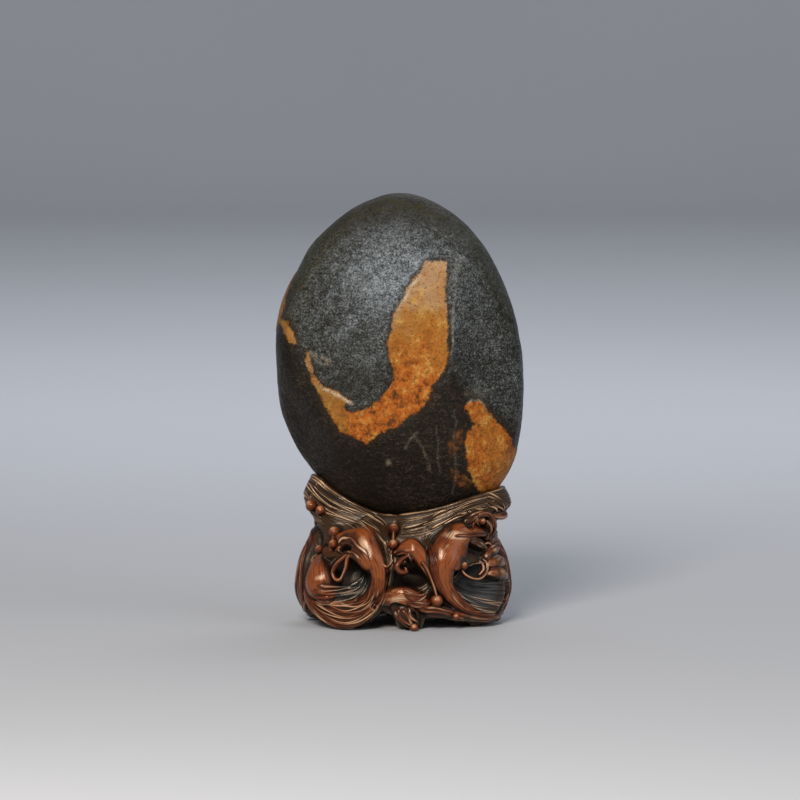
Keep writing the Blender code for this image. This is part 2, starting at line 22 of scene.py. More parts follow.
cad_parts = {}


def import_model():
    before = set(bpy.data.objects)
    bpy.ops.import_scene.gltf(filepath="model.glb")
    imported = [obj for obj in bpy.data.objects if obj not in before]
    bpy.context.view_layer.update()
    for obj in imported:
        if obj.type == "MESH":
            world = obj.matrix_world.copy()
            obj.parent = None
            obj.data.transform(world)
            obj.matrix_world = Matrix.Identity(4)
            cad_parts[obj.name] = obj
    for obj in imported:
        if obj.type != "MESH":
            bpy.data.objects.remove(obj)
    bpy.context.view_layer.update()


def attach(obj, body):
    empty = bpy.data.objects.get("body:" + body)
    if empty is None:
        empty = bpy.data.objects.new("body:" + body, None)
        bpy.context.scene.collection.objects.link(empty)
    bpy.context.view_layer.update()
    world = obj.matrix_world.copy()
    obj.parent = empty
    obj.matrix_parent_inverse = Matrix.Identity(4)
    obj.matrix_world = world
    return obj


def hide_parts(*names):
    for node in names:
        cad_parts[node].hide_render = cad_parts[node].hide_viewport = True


LOG = logging.getLogger("scholars_rock")
MM = 0.001
TAU = 2 * math.pi
ROOT = "root"
VIEW_TILT = math.radians(5.0)  # the front view looks down by this much
VIEW_PIVOT = -45.0  # Y of the plane that front outlines are measured in
SEAM_WELD = 1e-5  # mm
STRAND_WELD = 1e-4  # mm
TINY = 1e-9

# The values that the finishes read at each point of the stone and of the wood.
STONE_FIELDS = ("sheen", "low", "olive", "shade", "chalk_and_highlight", "rind", "rind_firm", "rind_depth")
# For the wood, hollow is painted shade, high a red tone painted lighter on crowns and darker low
# down, and worn is wear with painted highlights.
WOOD_FIELDS = ("worn", "hollow", "high", "warm", "cool", "flow_across", "flow_along")

Array = np.ndarray
Rows = tuple[tuple[float, ...], ...]
Spot = tuple[float, float, float, float]
Fields = dict[str, Array]


# ---- curves and grids ----
def spline(points: Rows | Array, t: Array | float) -> Array:
    """Points of a smooth curve through given points.

    Args:
        points: the points, one row each.
        t: where on the curve, from 0 at the first point to 1 at the last.

    Returns:
        One row for each value of t.
    """
    p = np.asarray(points, float)
    spans = len(p) - 1
    at = np.clip(np.atleast_1d(t), 0.0, 1.0) * spans
    i = np.minimum(at.astype(int), spans - 1)
    f = (at - i)[:, None]
    a, b = p[np.maximum(i - 1, 0)], p[i]
    c, d = p[i + 1], p[np.minimum(i + 2, spans)]
    return b + 0.5 * f * (c - a + f * (2 * a - 5 * b + 4 * c - d + f * (3 * (b - c) + d - a)))


def ring_spline(values: tuple[float, ...], turn: Array) -> Array:
    """Values, at shares of a turn, of a smooth closed curve through evenly spaced values.

    Args:
        values: the evenly spaced values.
        turn: shares of a turn.

    Returns:
        One value for each share.
    """
    v = np.asarray(values, float)
    count = len(v)
    at = (turn % 1.0) * count
    i = at.astype(int) % count
    f = at - np.floor(at)
    a, b, c, d = (v[(i + k) % count] for k in (-1, 0, 1, 2))
    return b + 0.5 * f * (c - a + f * (2 * a - 5 * b + 4 * c - d + f * (3 * (b - c) + d - a)))


def soft_step(x: Array) -> Array:
    """Soft step from 0 to 1 as x goes from 0 to 1."""
    x = np.clip(x, 0.0, 1.0)
    return x * x * (3 - 2 * x)


def ramp(values: Array, start: float, reach: float) -> Array:
    """Soft step from 0 to 1 over a reach that begins at the start."""
    return soft_step((values - start) / reach)


def soft_spot(spot: Spot, across: Array, up: Array) -> Array:
    """A soft oval of 1 at its middle. A spot is across, up, half width and half height."""
    x, z, wide, tall = spot
    return np.exp(-((across - x) / wide) ** 2 - ((up - z) / tall) ** 2)


def blur(values: Array, reach: float) -> Array:
    """Smooths a sheet of values that closes on itself along its first axis.

    Args:
        values: the sheet, with any further axes left alone.
        reach: how far to smooth, in cells.

    Returns:
        The smoothed sheet.
    """
    span = max(1, math.ceil(reach * 3))
    kernel = np.exp(-0.5 * (np.arange(-span, span + 1) / reach) ** 2)
    kernel /= kernel.sum()
    round_sum = sum(w * np.roll(values, k - span, axis=0) for k, w in enumerate(kernel))
    count = values.shape[1]
    cells = np.arange(count)
    return sum(
        w * round_sum[:, np.clip(cells + k - span, 0, count - 1)] for k, w in enumerate(kernel)
    )


def lookup(sheet: Array, across: Array, up: Array) -> Array:
    """Reads a sheet that closes on itself along its first axis, between its cells.

    Args:
        sheet: the values.
        across: places along the first axis, in cells.
        up: places along the second axis, in cells.

    Returns:
        The values there.
    """
    columns, rows = sheet.shape[:2]
    i = np.floor(across).astype(int)
    j = np.clip(np.floor(up).astype(int), 0, rows - 2)
    f, g = across - i, np.clip(up - j, 0.0, 1.0)
    if sheet.ndim == 3:
        f, g = f[..., None], g[..., None]
    a, b = sheet[i % columns, j], sheet[(i + 1) % columns, j]
    c, d = sheet[i % columns, j + 1], sheet[(i + 1) % columns, j + 1]
    return (a * (1 - f) + b * f) * (1 - g) + (c * (1 - f) + d * f) * g


def ring_lookup(ring: Array, at: Array) -> Array:
    """Reads a ring of values, or of rows of values, between its cells.

    Args:
        ring: the values.
        at: places round the ring, in cells.

    Returns:
        The values there.
    """
    i, f = np.floor(at).astype(int), at - np.floor(at)
    if ring.ndim == 2:
        f = f[..., None]
    return ring[i % len(ring)] * (1 - f) + ring[(i + 1) % len(ring)] * f


def unit(rows: Array) -> Array:
    """Rows brought to a length of 1."""
    return rows / np.maximum(np.linalg.norm(rows, axis=-1, keepdims=True), TINY)


def rough(points: Array, size: float, seed: float = 0.0) -> Array:
    """Smooth random values from about -1 to 1.

    Args:
        points: where, one row for each.
        size: the size of a lump, in the points' own units.
        seed: a shift that gives another pattern.

    Returns:
        One value for each point.
    """
    shift = Vector((seed, seed * 1.7, -seed))
    return np.array([noise.noise(Vector(p) / size + shift) for p in points])


def outline_distance(outline: Rows, across: Array, up: Array) -> Array:
    """Signed distance from a closed outline of straight sides, positive inside it.

    Args:
        outline: the outline's corners.
        across: places along the first axis.
        up: places along the second axis.

    Returns:
        One distance for each place.
    """
    corners = np.asarray(outline, float)
    inside = np.zeros(across.shape, bool)
    nearest = np.full(across.shape, 1e9)
    for (x0, y0), (x1, y1) in zip(corners, np.roll(corners, -1, axis=0)):
        nearest = np.minimum(nearest, side_distance((x0, y0), (x1, y1), across, up))
        crosses = (y0 > up) != (y1 > up)
        slope = (x1 - x0) / (y1 - y0) if y1 != y0 else 0.0
        inside ^= crosses & (across < x0 + (up - y0) * slope)
    return np.where(inside, nearest, -nearest)


def inside_any(outlines: tuple[Rows, ...], across: Array, up: Array) -> Array:
    """Signed distance from the nearest of several outlines, positive inside one of them."""
    return np.maximum.reduce([outline_distance(outline, across, up) for outline in outlines])


def line_distance(line: Rows, across: Array, up: Array) -> Array:
    """Distance from an open line of straight runs, at the given places."""
    runs = [side_distance(a, b, across, up) for a, b in zip(line, line[1:])]
    return np.minimum.reduce(runs)


def side_distance(
    a: tuple[float, float], b: tuple[float, float], across: Array, up: Array
) -> Array:
    """Distance from the straight run between two points.

    Args:
        a: where the run starts.
        b: where it ends.
        across: places along the first axis.
        up: places along the second axis.

    Returns:
        One distance for each place.
    """
    run = np.array(b) - np.array(a)
    share = ((across - a[0]) * run[0] + (up - a[1]) * run[1]) / max(run @ run, TINY)
    share = np.clip(share, 0.0, 1.0)
    return np.hypot(across - a[0] - share * run[0], up - a[1] - share * run[1])


# ---- meshes and pieces ----
def closed_sheet(points: Array, fields: Fields) -> Mesh:
    """A closed mesh from a grid bent into a sack: rolled up, and drawn in at both ends.

    Args:
        points: the grid's points in millimetres. The first axis is the one that closes on itself.
        fields: values to keep at each point, by name.

    Returns:
        The mesh, in metres, with its seam welded.
    """
    stations, levels = points.shape[:2]
    bm = bmesh.new()
    bmesh.ops.create_grid(bm, x_segments=stations, y_segments=levels - 1, size=0.5)
    cell = bm.verts.layers.int.new("cell")
    seam, ends = [], ([], [])
    for vert in bm.verts:
        i = round((vert.co.x + 0.5) * stations)
        j = round((vert.co.y + 0.5) * (levels - 1))
        vert[cell] = (i % stations) * levels + j
        vert.co = points[i % stations, j]
        if j in (0, levels - 1):
            ends[j > 0].append(vert)
        elif i in (0, stations):
            seam.append(vert)
    for group in (seam, *ends):
        bmesh.ops.remove_doubles(bm, verts=group, dist=SEAM_WELD)
    bmesh.ops.recalc_face_normals(bm, faces=bm.faces[:])
    mesh = new_mesh("sheet", bm)
    cells = np.zeros(len(mesh.vertices), np.int32)
    mesh.attributes["cell"].data.foreach_get("value", cells)
    mesh.attributes.remove(mesh.attributes["cell"])
    for name, values in fields.items():
        keep_field(mesh, name, values.reshape(-1)[cells])
    return mesh


def new_mesh(name: str, bm: bmesh.types.BMesh) -> Mesh:
    """A smooth mesh in metres from a bmesh in millimetres.

    Args:
        name: the mesh's name.
        bm: the bmesh, which is freed.

    Returns:
        The mesh.
    """
    mesh = bpy.data.meshes.new(name)
    bmesh.ops.scale(bm, vec=(MM, MM, MM), verts=bm.verts[:])
    bm.to_mesh(mesh)
    bm.free()
    mesh.shade_smooth()
    return mesh


def keep_field(mesh: Mesh, name: str, values: Array) -> None:
    """Stores one number for each point of a mesh.

    Args:
        mesh: the mesh.
        name: the name that its material reads.
        values: one number for each point.
    """
    layer = mesh.attributes.new(name, "FLOAT", "POINT")
    layer.data.foreach_set("value", np.ascontiguousarray(values, np.float32))


def show_piece(
    name: str, mesh: Mesh, material: Material, node: str
) -> Object:
    """Places a finished piece of the object on its body.

    Args:
        name: the piece's name.
        mesh: its mesh, already in place.
        material: its finish.
        node: the solid that it stands for.

    Returns:
        The object.
    """
    mesh.name = name
    mesh.materials.append(material)
    piece = bpy.data.objects.new(name, mesh)
    bpy.context.scene.collection.objects.link(piece)
    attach(piece, ROOT)
    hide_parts(node)
    low, high = (np.array([f(c) for c in zip(*piece.bound_box)]) / MM for f in (min, max))
    LOG.info("%s: %d faces, %s to %s mm", name, len(mesh.polygons), low.round(1), high.round(1))
    return piece


# ---- finishes ----
def linear(code: str) -> tuple[float, float, float, float]:
    """Turns a colour to linear.

    Args:
        code: its sRGB hex code, such as 8a5a3c.

    Returns:
        Its linear red, green, blue and alpha.
    """
    parts = [int(code[i:i + 2], 16) / 255 for i in (0, 2, 4)]
    r, g, b = (c / 12.92 if c <= 0.04045 else ((c + 0.055) / 1.055) ** 2.4 for c in parts)
    return r, g, b, 1.0


def per_mm(size: float) -> float:
    """The scale that gives a pattern features of a size in millimetres."""
    return 1 / (size * MM)


class Finish:
    """A material under construction: its node tree and its shader."""

    def __init__(self, name: str) -> None:
        """Starts a material.

        Args:
            name: the material's name.
        """
        self.material = bpy.data.materials.new(name)
        self.material.use_nodes = True
        self.tree = self.material.node_tree
        self.shader = self.tree.nodes["Principled BSDF"]

    def add(
        self, kind: str, links: dict | None = None, out: int | str = 0, **settings: object
    ) -> NodeSocket:
        """Adds a node.

        Args:
            kind: the node's type, without its ShaderNode prefix.
            links: a value, or an output to link, for each input by name or number.
            out: which output to hand back.
            settings: the node's own properties.

        Returns:
            The output.
        """
        node = self.tree.nodes.new("ShaderNode" + kind)
        for key, value in settings.items():
            setattr(node, key, value)
        self.join(node, links or {})
        return node.outputs[out]

    def join(self, node: Node, links: dict) -> None:
        """Sets a node's inputs to values, or links outputs to them.

        Args:
            node: the node.
            links: a value, or an output to link, for each input by name or number.
        """
        for key, value in links.items():
            if isinstance(value, NodeSocket):
                self.tree.links.new(value, node.inputs[key])
            else:
                node.inputs[key].default_value = value


# Settings of a MapRange node with soft ends, and of Math nodes. A Mix node for colours takes its
# share in 0 and its two colours in 6 and 7, and gives its result in 2.
SOFT = {"interpolation_type": "SMOOTHSTEP"}
COLOUR = {"data_type": "RGBA"}
TIMES = {"operation": "MULTIPLY"}
TIMES_PLUS = {"operation": "MULTIPLY_ADD"}


@dataclass(frozen=True)
class RiverStone:
    """Fine-grained dark river stone, worn by water to a satin pebbly skin.

    The eye sees a dark grey-green ground sown with paler and darker grains, darker and browner
    towards the bottom, with painted shade along the top, a painted sheen, paler and bluer, on the
    upper face and its dish, pale vein lines with painted highlights along the ledges beside the
    band, and an ochre rind, stained by iron, where the cobble's crust is left. Its real grains are
    about 0.3 mm, too fine to show, so they are drawn at grain_size.
    """

    dark: str = "0d0f0e"
    ground: str = "343837"
    grains: str = "6c716e"
    # Colours of the painted sheen on the upper face: its dark, its ground (rubbed) and its grains.
    painted_sheen_dark: str = "363b3f"
    rubbed: str = "767d82"
    painted_sheen_grains: str = "a3abb1"
    brown: str = "080503"
    brown_grains: str = "3c2b1b"
    olive: str = "302e19"
    rind_pale: str = "b2916f"
    rind: str = "a46a26"
    rind_deep: str = "b05c14"
    rind_gold: str = "d2a855"
    rind_brown: str = "4a2a10"
    rind_olive: str = "785a22"
    pits: str = "241407"
    chalk_and_highlight: str = "cdbfa4"
    glaze: str = "ffead2"
    grain_size: float = 0.85  # mm
    roughness: float = 0.40

    def material(self) -> Material:
        """Builds the material.

        Returns:
            The material.
        """
        f = Finish("water_worn_river_stone")
        place = f.add("TexCoord", out="Object")
        mark = {m: f.add("Attribute", out="Fac", attribute_name=m) for m in STONE_FIELDS}
        fine = f.add("TexNoise", {
            "Vector": place, "Scale": per_mm(self.grain_size), "Detail": 3.0, "Roughness": 0.62,
        })
        coarse = f.add("TexNoise", {
            "Vector": place, "Scale": per_mm(self.grain_size * 3.2), "Detail": 3.0,
        })
        grain = f.add("TexVoronoi", {"Vector": place, "Scale": per_mm(self.grain_size * 1.2)},
                      "Color")
        cloud = f.add("TexNoise", {"Vector": place, "Scale": per_mm(22.0), "Detail": 4.0})
        wide = f.add("Mapping", {"Vector": place, "Scale": (0.45, 0.45, 1.5)})
        dashes = f.add("TexNoise", {"Vector": wide, "Scale": per_mm(2.6), "Detail": 3.0})
        mottle = f.add("TexNoise", {
            "Vector": place, "Scale": per_mm(6.5), "Detail": 7.0, "Roughness": 0.74,
        })
        ragged = f.add("TexNoise", {
            "Vector": place, "Scale": per_mm(3.4), "Detail": 6.0, "Roughness": 0.65,
        })

        # Specks of grain, and how they crowd in dashes and clouds.
        speck = f.add("Math", {0: coarse, 1: 0.34, 2: -0.17}, **TIMES_PLUS)
        speck = f.add("Math", {0: fine, 1: speck})
        mixed = f.add("Math", {0: grain, 1: 0.26, 2: -0.13}, **TIMES_PLUS)
        speck = f.add("Math", {0: speck, 1: mixed})
        speck = f.add("Math", {0: speck, 1: 0.86, 2: 0.07}, **TIMES_PLUS)
        dashes = f.add("Math", {0: dashes, 1: 0.26, 2: -0.13}, **TIMES_PLUS)
        patchy = f.add("Math", {0: cloud, 1: 0.28, 2: -0.14}, **TIMES_PLUS)
        patchy = f.add("Math", {0: patchy, 1: dashes})
        spread = f.add("Math", {0: speck, 1: patchy})
        low = f.add("Math", {0: cloud, 1: 0.9, 2: -0.45}, **TIMES_PLUS)
        low = f.add("Math", {0: low, 1: mark["low"]})
        stain = f.add("Math", {0: cloud, 1: 1.1, 2: -0.55}, **TIMES_PLUS)
        stain = f.add("Math", {0: stain, 1: mark["rind_depth"]})
        edge = f.add("Math", {0: ragged, 1: 6.0, 2: -3.0}, **TIMES_PLUS)
        edge = f.add("Math", {0: edge, 1: mark["rind"]})

        # Soft shares: the value, where the share begins and is whole, and the most that it is.
        share = {"aged": f.add("Math", {0: mark["olive"], 1: 0.8}, **TIMES)}
        for name, value, none, whole, most in (
            ("body", spread, 0.36, 0.54, 1.0), ("pale", spread, 0.52, 0.72, 1.0),
            ("low", low, 0.1, 0.8, 0.94), ("mossy", coarse, 0.32, 0.62, 1.0),
            ("orange", stain, 0.0, 0.45, 1.0), ("rust", stain, 0.35, 0.9, 1.0),
            ("gold", mottle, 0.50, 0.68, 0.65), ("brown", mottle, 0.50, 0.36, 0.9),
            ("pits", speck, 0.50, 0.28, 0.62), ("rust_pits", coarse, 0.46, 0.34, 0.45),
            ("margin", edge, -3.0, -0.8, 0.6), ("rind", edge, -0.7, 1.1, 1.0),
            ("chalk_and_highlight", speck, 0.30, 0.55, 1.0),
        ):
            share[name] = f.add("MapRange", {
                "Value": value, "From Min": none, "From Max": whole, "To Max": most,
            }, "Result", **SOFT)
        for name, within in (
            ("mossy", mark["olive"]), ("brown", share["rust"]), ("rust_pits", share["rust"]),
            ("rind", mark["rind_firm"]), ("chalk_and_highlight", mark["chalk_and_highlight"]),
        ):
            share[name] = f.add("Math", {0: share[name], 1: within}, **TIMES)

        # Layers of colour: a row lays the last one over the one before it, by its share.
        layer = {}
        for name, by, under, over in (
            # Dark hollows, the ground, then pale grains; painted shade along the top and on the
            # left; then a painted sheen, paler and bluer, on the upper face.
            ("skin", share["body"], self.dark, self.ground),
            ("skin", share["pale"], "skin", self.grains),
            ("skin", mark["shade"], "skin", self.dark),
            ("sheen", share["body"], self.painted_sheen_dark, self.rubbed),
            ("sheen", share["pale"], "sheen", self.painted_sheen_grains),
            ("skin", mark["sheen"], "skin", "sheen"),
            # Darker and browner towards the bottom, and the olive edge.
            ("deep", share["pale"], self.brown, self.brown_grains),
            ("skin", share["low"], "skin", "deep"),
            ("skin", share["mossy"], "skin", self.olive),
            # The rind: pale at its top, orange, then rust, mottled with gold, brown and pits.
            ("rind", share["orange"], self.rind_pale, self.rind),
            ("rind", share["rust"], "rind", self.rind_deep),
            ("rind", share["gold"], "rind", self.rind_gold),
            ("rind", share["brown"], "rind", self.rind_brown),
            ("rind", share["pits"], "rind", self.pits),
            ("rind", share["rust_pits"], "rind", self.pits),
            ("rind", share["aged"], "rind", self.rind_olive),
            ("skin", share["margin"], "skin", self.pits),
            ("skin", share["rind"], "skin", "rind"),
            # Pale vein lines, and painted highlights along the ledges beside the band.
            ("skin", share["chalk_and_highlight"], "skin", self.chalk_and_highlight),
        ):
            under, over = (layer[c] if c in layer else linear(c) for c in (under, over))
            layer[name] = f.add("Mix", {0: by, 6: under, 7: over}, 2, **COLOUR)

        gloss = f.add("Math", {0: share["body"], 1: -0.24, 2: self.roughness + 0.16},
                      **TIMES_PLUS)
        gloss = f.add("Math", {0: share["rind"], 1: 0.10, 2: gloss}, **TIMES_PLUS)
        pebble = f.add("TexVoronoi", {"Vector": place, "Scale": per_mm(self.grain_size)})
        height = f.add("Math", {0: pebble, 1: -0.5, 2: speck}, **TIMES_PLUS)
        height = f.add("Math", {0: coarse, 1: 1.6, 2: height}, **TIMES_PLUS)
        height = f.add("Math", {0: mottle, 1: 2.0, 2: height}, **TIMES_PLUS)
        bump = f.add("Bump", {"Strength": 0.9, "Distance": 0.6 * MM, "Height": height})
        f.join(f.shader, {
            "Base Color": layer["skin"], "Roughness": gloss, "Normal": bump,
            "Specular IOR Level": 0.28, "Specular Tint": linear(self.glaze),
        })
        return f.material


@dataclass(frozen=True)
class CarvedHardwood:
    """Dense red-brown hardwood, carved by hand, oiled and waxed, with painted shade in grooves.

    The eye sees recesses painted black as shade, chestnut domes with a waxy gleam and a painted
    highlight on their crowns, and crests rubbed to a tan, with painted highlights among them. The
    real grain is finer than shows, so its streaks are drawn 0.6 mm apart and its pores 0.6 mm wide.
    """

    # groove is the black of painted shade in recesses and of the grain's nicks.
    groove: str = "0a0605"
    patina: str = "3c2818"
    slate: str = "2a2e31"
    heart_low: str = "351105"
    heart: str = "5c2810"
    heart_high: str = "8a4822"
    # The tan of wear and of painted highlights.
    rubbed: str = "d8b08a"
    wax: str = "f6dfc6"
    streak: float = 0.6
    roughness: float = 0.26

    def material(self) -> Material:
        """Builds the material.

        Returns:
            The material.
        """
        f = Finish("waxed_carved_hardwood")
        place = f.add("TexCoord", out="Object")
        mark = {m: f.add("Attribute", out="Fac", attribute_name=m) for m in WOOD_FIELDS}

        # Grain that follows the carved flow, and slow changes of the stain.
        across = f.add("Math", {0: mark["flow_across"], 1: 1 / self.streak}, **TIMES)
        along = f.add("Math", {0: mark["flow_along"], 1: 0.06 / self.streak}, **TIMES)
        flow = f.add("CombineXYZ", {"X": across, "Y": along})
        lines = f.add("TexNoise", {"Vector": flow, "Scale": 1.0, "Detail": 3.0})
        cloud = f.add("TexNoise", {"Vector": place, "Scale": per_mm(8.0), "Detail": 4.0})
        swing = f.add("Math", {0: cloud, 1: 0.9, 2: -0.45}, **TIMES_PLUS)
        tone = f.add("Math", {0: lines, 1: 0.7, 2: -0.35}, **TIMES_PLUS)
        high = f.add("Math", {0: swing, 1: 0.8, 2: mark["high"]}, **TIMES_PLUS)
        high = f.add("Math", {0: high, 1: tone})
        warm = f.add("Math", {0: swing, 1: 1.1, 2: mark["warm"]}, **TIMES_PLUS)
        worn = f.add("Math", {0: swing, 1: 0.5, 2: mark["worn"]}, **TIMES_PLUS)

        # Soft shares: the value, where the share begins and is whole, and the most that it is.
        share = {}
        for name, value, none, whole, most in (
            ("heart", high, 0.15, 0.6, 1.0), ("crest", high, 0.5, 1.05, 1.0),
            ("warm", warm, 0.25, 0.85, 1.0), ("painted_shade", mark["hollow"], 0.0, 0.9, 0.96),
            ("rubbed", worn, 0.45, 1.15, 0.85), ("nick", lines, 0.47, 0.34, 0.72),
        ):
            share[name] = f.add("MapRange", {
                "Value": value, "From Min": none, "From Max": whole, "To Max": most,
            }, "Result", **SOFT)

        # Layers of colour: a row lays the last one over the one before it, by its share.
        layer = {}
        for name, by, under, over in (
            # The red, darker low down and lighter on crowns, crests and drops' lit sides, as
            # painted shade and highlight.
            ("red", share["heart"], self.heart_low, self.heart),
            ("red", share["crest"], "red", self.heart_high),
            ("wood", mark["cool"], self.patina, self.slate),
            ("wood", share["warm"], "wood", "red"),
            # Painted shade in recesses, wear with painted highlights, then dark nicks of grain.
            ("wood", share["painted_shade"], "wood", self.groove),
            ("wood", share["rubbed"], "wood", self.rubbed),
            ("wood", share["nick"], "wood", self.groove),
        ):
            under, over = (layer[c] if c in layer else linear(c) for c in (under, over))
            layer[name] = f.add("Mix", {0: by, 6: under, 7: over}, 2, **COLOUR)

        gloss = f.add("Math", {0: cloud, 1: 0.22, 2: self.roughness - 0.11}, **TIMES_PLUS)
        gloss = f.add("Math", {0: mark["hollow"], 1: 0.3, 2: gloss}, **TIMES_PLUS)
        gloss = f.add("Math", {0: mark["high"], 1: -0.11, 2: gloss}, **TIMES_PLUS)
        pores = f.add("TexNoise", {"Vector": place, "Scale": per_mm(0.6), "Detail": 2.0})
        height = f.add("Math", {0: pores, 1: 0.4, 2: lines}, **TIMES_PLUS)
        bump = f.add("Bump", {"Strength": 0.45, "Distance": 0.35 * MM, "Height": height})
        f.join(f.shader, {
            "Base Color": layer["wood"], "Roughness": gloss, "Normal": bump,
            "Specular Tint": linear(self.wax), "Coat Weight": 0.06, "Coat Roughness": 0.2,
        })
        return f.material


@dataclass(frozen=True)
class StudioPaper:
    """Matt pale paper, rolled out as a seamless floor."""

    pale: str = "c3c5c8"
    shade: str = "bcbec2"

    def material(self) -> Material:
        """Builds the material.

        Returns:
            The material.
        """
        f = Finish("studio_paper")
        place = f.add("TexCoord", out="Object")
        cloud = f.add("TexNoise", {"Vector": place, "Scale": per_mm(900.0)})
        colour = f.add("Mix", {0: cloud, 6: linear(self.pale), 7: linear(self.shade)}, 2, **COLOUR)
        f.join(f.shader, {"Base Color": colour, "Roughness": 0.9})
        return f.material


# ---- the stone ----
@dataclass
class Stone:
    """The pebble: an upright worn oval with a broad dished face and an ochre rind in a J."""

    centre: tuple[float, float, float] = (0.0, 0.0, 156.5)
    # Radius of the outline seen from the front, from the centre, every 15 degrees from +X up.
    outline: tuple[float, ...] = (
        74.7, 74.6, 78.0, 83.3, 91.6, 100.3, 104.8, 100.4, 93.4, 86.7, 81.8, 77.5,
        75.4, 75.8, 78.4, 81.6, 85.2, 89.4, 93.4, 96.6, 96.4, 91.9, 83.6, 77.0,
    )
    front_depth: float = 46.0
    back_depth: float = 39.0
    fullness: float = 2.3
    # Worn faces: the way each one looks out, and its distance from the centre.
    faces: tuple[tuple[tuple[float, float, float], float], ...] = (
        ((-0.17, -0.97, 0.16), 37.6),
        ((-0.06, -0.90, 0.43), 55.0),
        ((-0.04, -0.93, -0.37), 55.5),
        ((0.52, -0.85, 0.04), 50.5),
        ((-0.72, -0.60, -0.35), 64.5),
        ((0.30, 0.93, 0.20), 46.0),
        ((-0.42, 0.89, -0.16), 45.0),
    )
    face_blend: float = 0.75
    dish_centre: tuple[float, float] = (-30.0, 10.0)
    dish_radii: tuple[float, float] = (40.0, 50.0)
    dish_depth: float = 3.0
    dish_power: float = 1.3
    lump_size: float = 30.0
    lump_height: float = 0.9
    # Smaller unevenness of the skin: size, seed and height of its lumps.
    dents: Rows = ((11.0, 7.3, 0.30), (4.5, 14.6, 0.14))
    notch: tuple[float, float, float, float] = (-68.0, 62.0, 9.0, 1.1)  # X, Z, reach, depth
    rind_height: float = 0.45
    rind_step: float = 2.5  # how wide the slope up to the rind is
    # The rind's ragged edge: size, seed and reach of its lumps.
    rind_edge: Rows = ((5.0, 3.1, 2.0), (2.2, 5.9, 1.0))
    ledge: tuple[float, float] = (2.0, 0.9)  # reach and height of the ledges beside the band
    turn: float = 8.0  # how far from the middle the front's rind has turned into the back's
    least_facing: float = 0.05
    cuts: int = 118

    # Outlines of the ochre rind, measured in the front view: across, up.
    band: Rows = (
        (15.5, 222.5), (28, 222.5), (28, 212), (27.3, 203), (28.3, 191.5), (28.8, 184),
        (28.3, 173.5), (29.3, 164.5), (26.5, 156.5), (19.5, 147), (17, 139), (11.5, 132),
        (4.5, 128.5), (-2, 122.5), (-10.5, 120), (-20, 112.5), (-26.5, 116), (-36.5, 120),
        (-40, 126.5), (-44.5, 134), (-49.5, 144), (-53, 151.5), (-56, 159), (-57, 168.5),
        (-54.8, 168.5), (-53.5, 158.5), (-50, 151.5), (-46, 146.5), (-38.5, 145), (-30.5, 139),
        (-34, 133), (-26.5, 132), (-19, 134), (-10.5, 141.5), (-5, 148), (-3.5, 155.5),
        (-6, 163.5), (-8, 172.5), (-5, 182), (-4.5, 190), (-1.5, 195), (2.5, 202), (6, 209),
        (8, 212.5), (12.5, 215.5), (13.5, 219),
    )
    patch: Rows = (
        (38.5, 133.6), (40.2, 136.9), (42.5, 138.4), (48.6, 138.4), (52, 135), (54.9, 129.8),
        (58.5, 125.8), (63.4, 121.8), (67, 116.2), (68.8, 110.5), (82, 107.5), (80, 92),
        (64, 80), (55.5, 82), (47.4, 84), (44.5, 88.1), (43.4, 92.9), (40.9, 97.2), (40, 106.3),
        (39.1, 113.6), (40.2, 118.9), (43.4, 122.1), (44, 124.5), (43.2, 126.9), (42, 130.6),
    )
    streak: Rows = (
        (-82, 219), (-62.5, 219), (-65, 214), (-67.5, 206), (-69.8, 197.5), (-71.5, 189),
        (-72.5, 186.5), (-82, 184),
    )
    wedge: Rows = ((-74, 188.5), (-68, 186.5), (-63.5, 179), (-62.5, 173), (-67, 173.5))
    smears: tuple[Rows, ...] = (
        ((37.3, 123.9), (38.6, 120.9), (38.6, 113.6), (35.8, 108.7), (31.6, 103.2), (28.4, 106.3),
         (28.4, 113.6), (31.4, 116.6), (34, 120.9)),
        ((29.7, 99), (32.2, 98.4), (38.3, 95.3), (43.1, 91.7), (44.3, 86.8), (39.5, 84.4),
         (34, 86.8), (29.8, 91.7)),
    )
    smear_inset: float = 1.2
    smear_most: float = 0.2
    smear_gap: float = 0.66  # how much of the ground shows through the smears
    # The same rind where it runs on round the edges to the back.
    back_rind: tuple[Rows, ...] = (
        ((82, 107.5), (68, 112), (60, 106), (52, 104), (50, 92), (58, 84), (80, 80)),
        ((-82, 217), (-66, 219), (-52, 208), (-44, 190), (-48, 172), (-58, 166), (-82, 180)),
    )
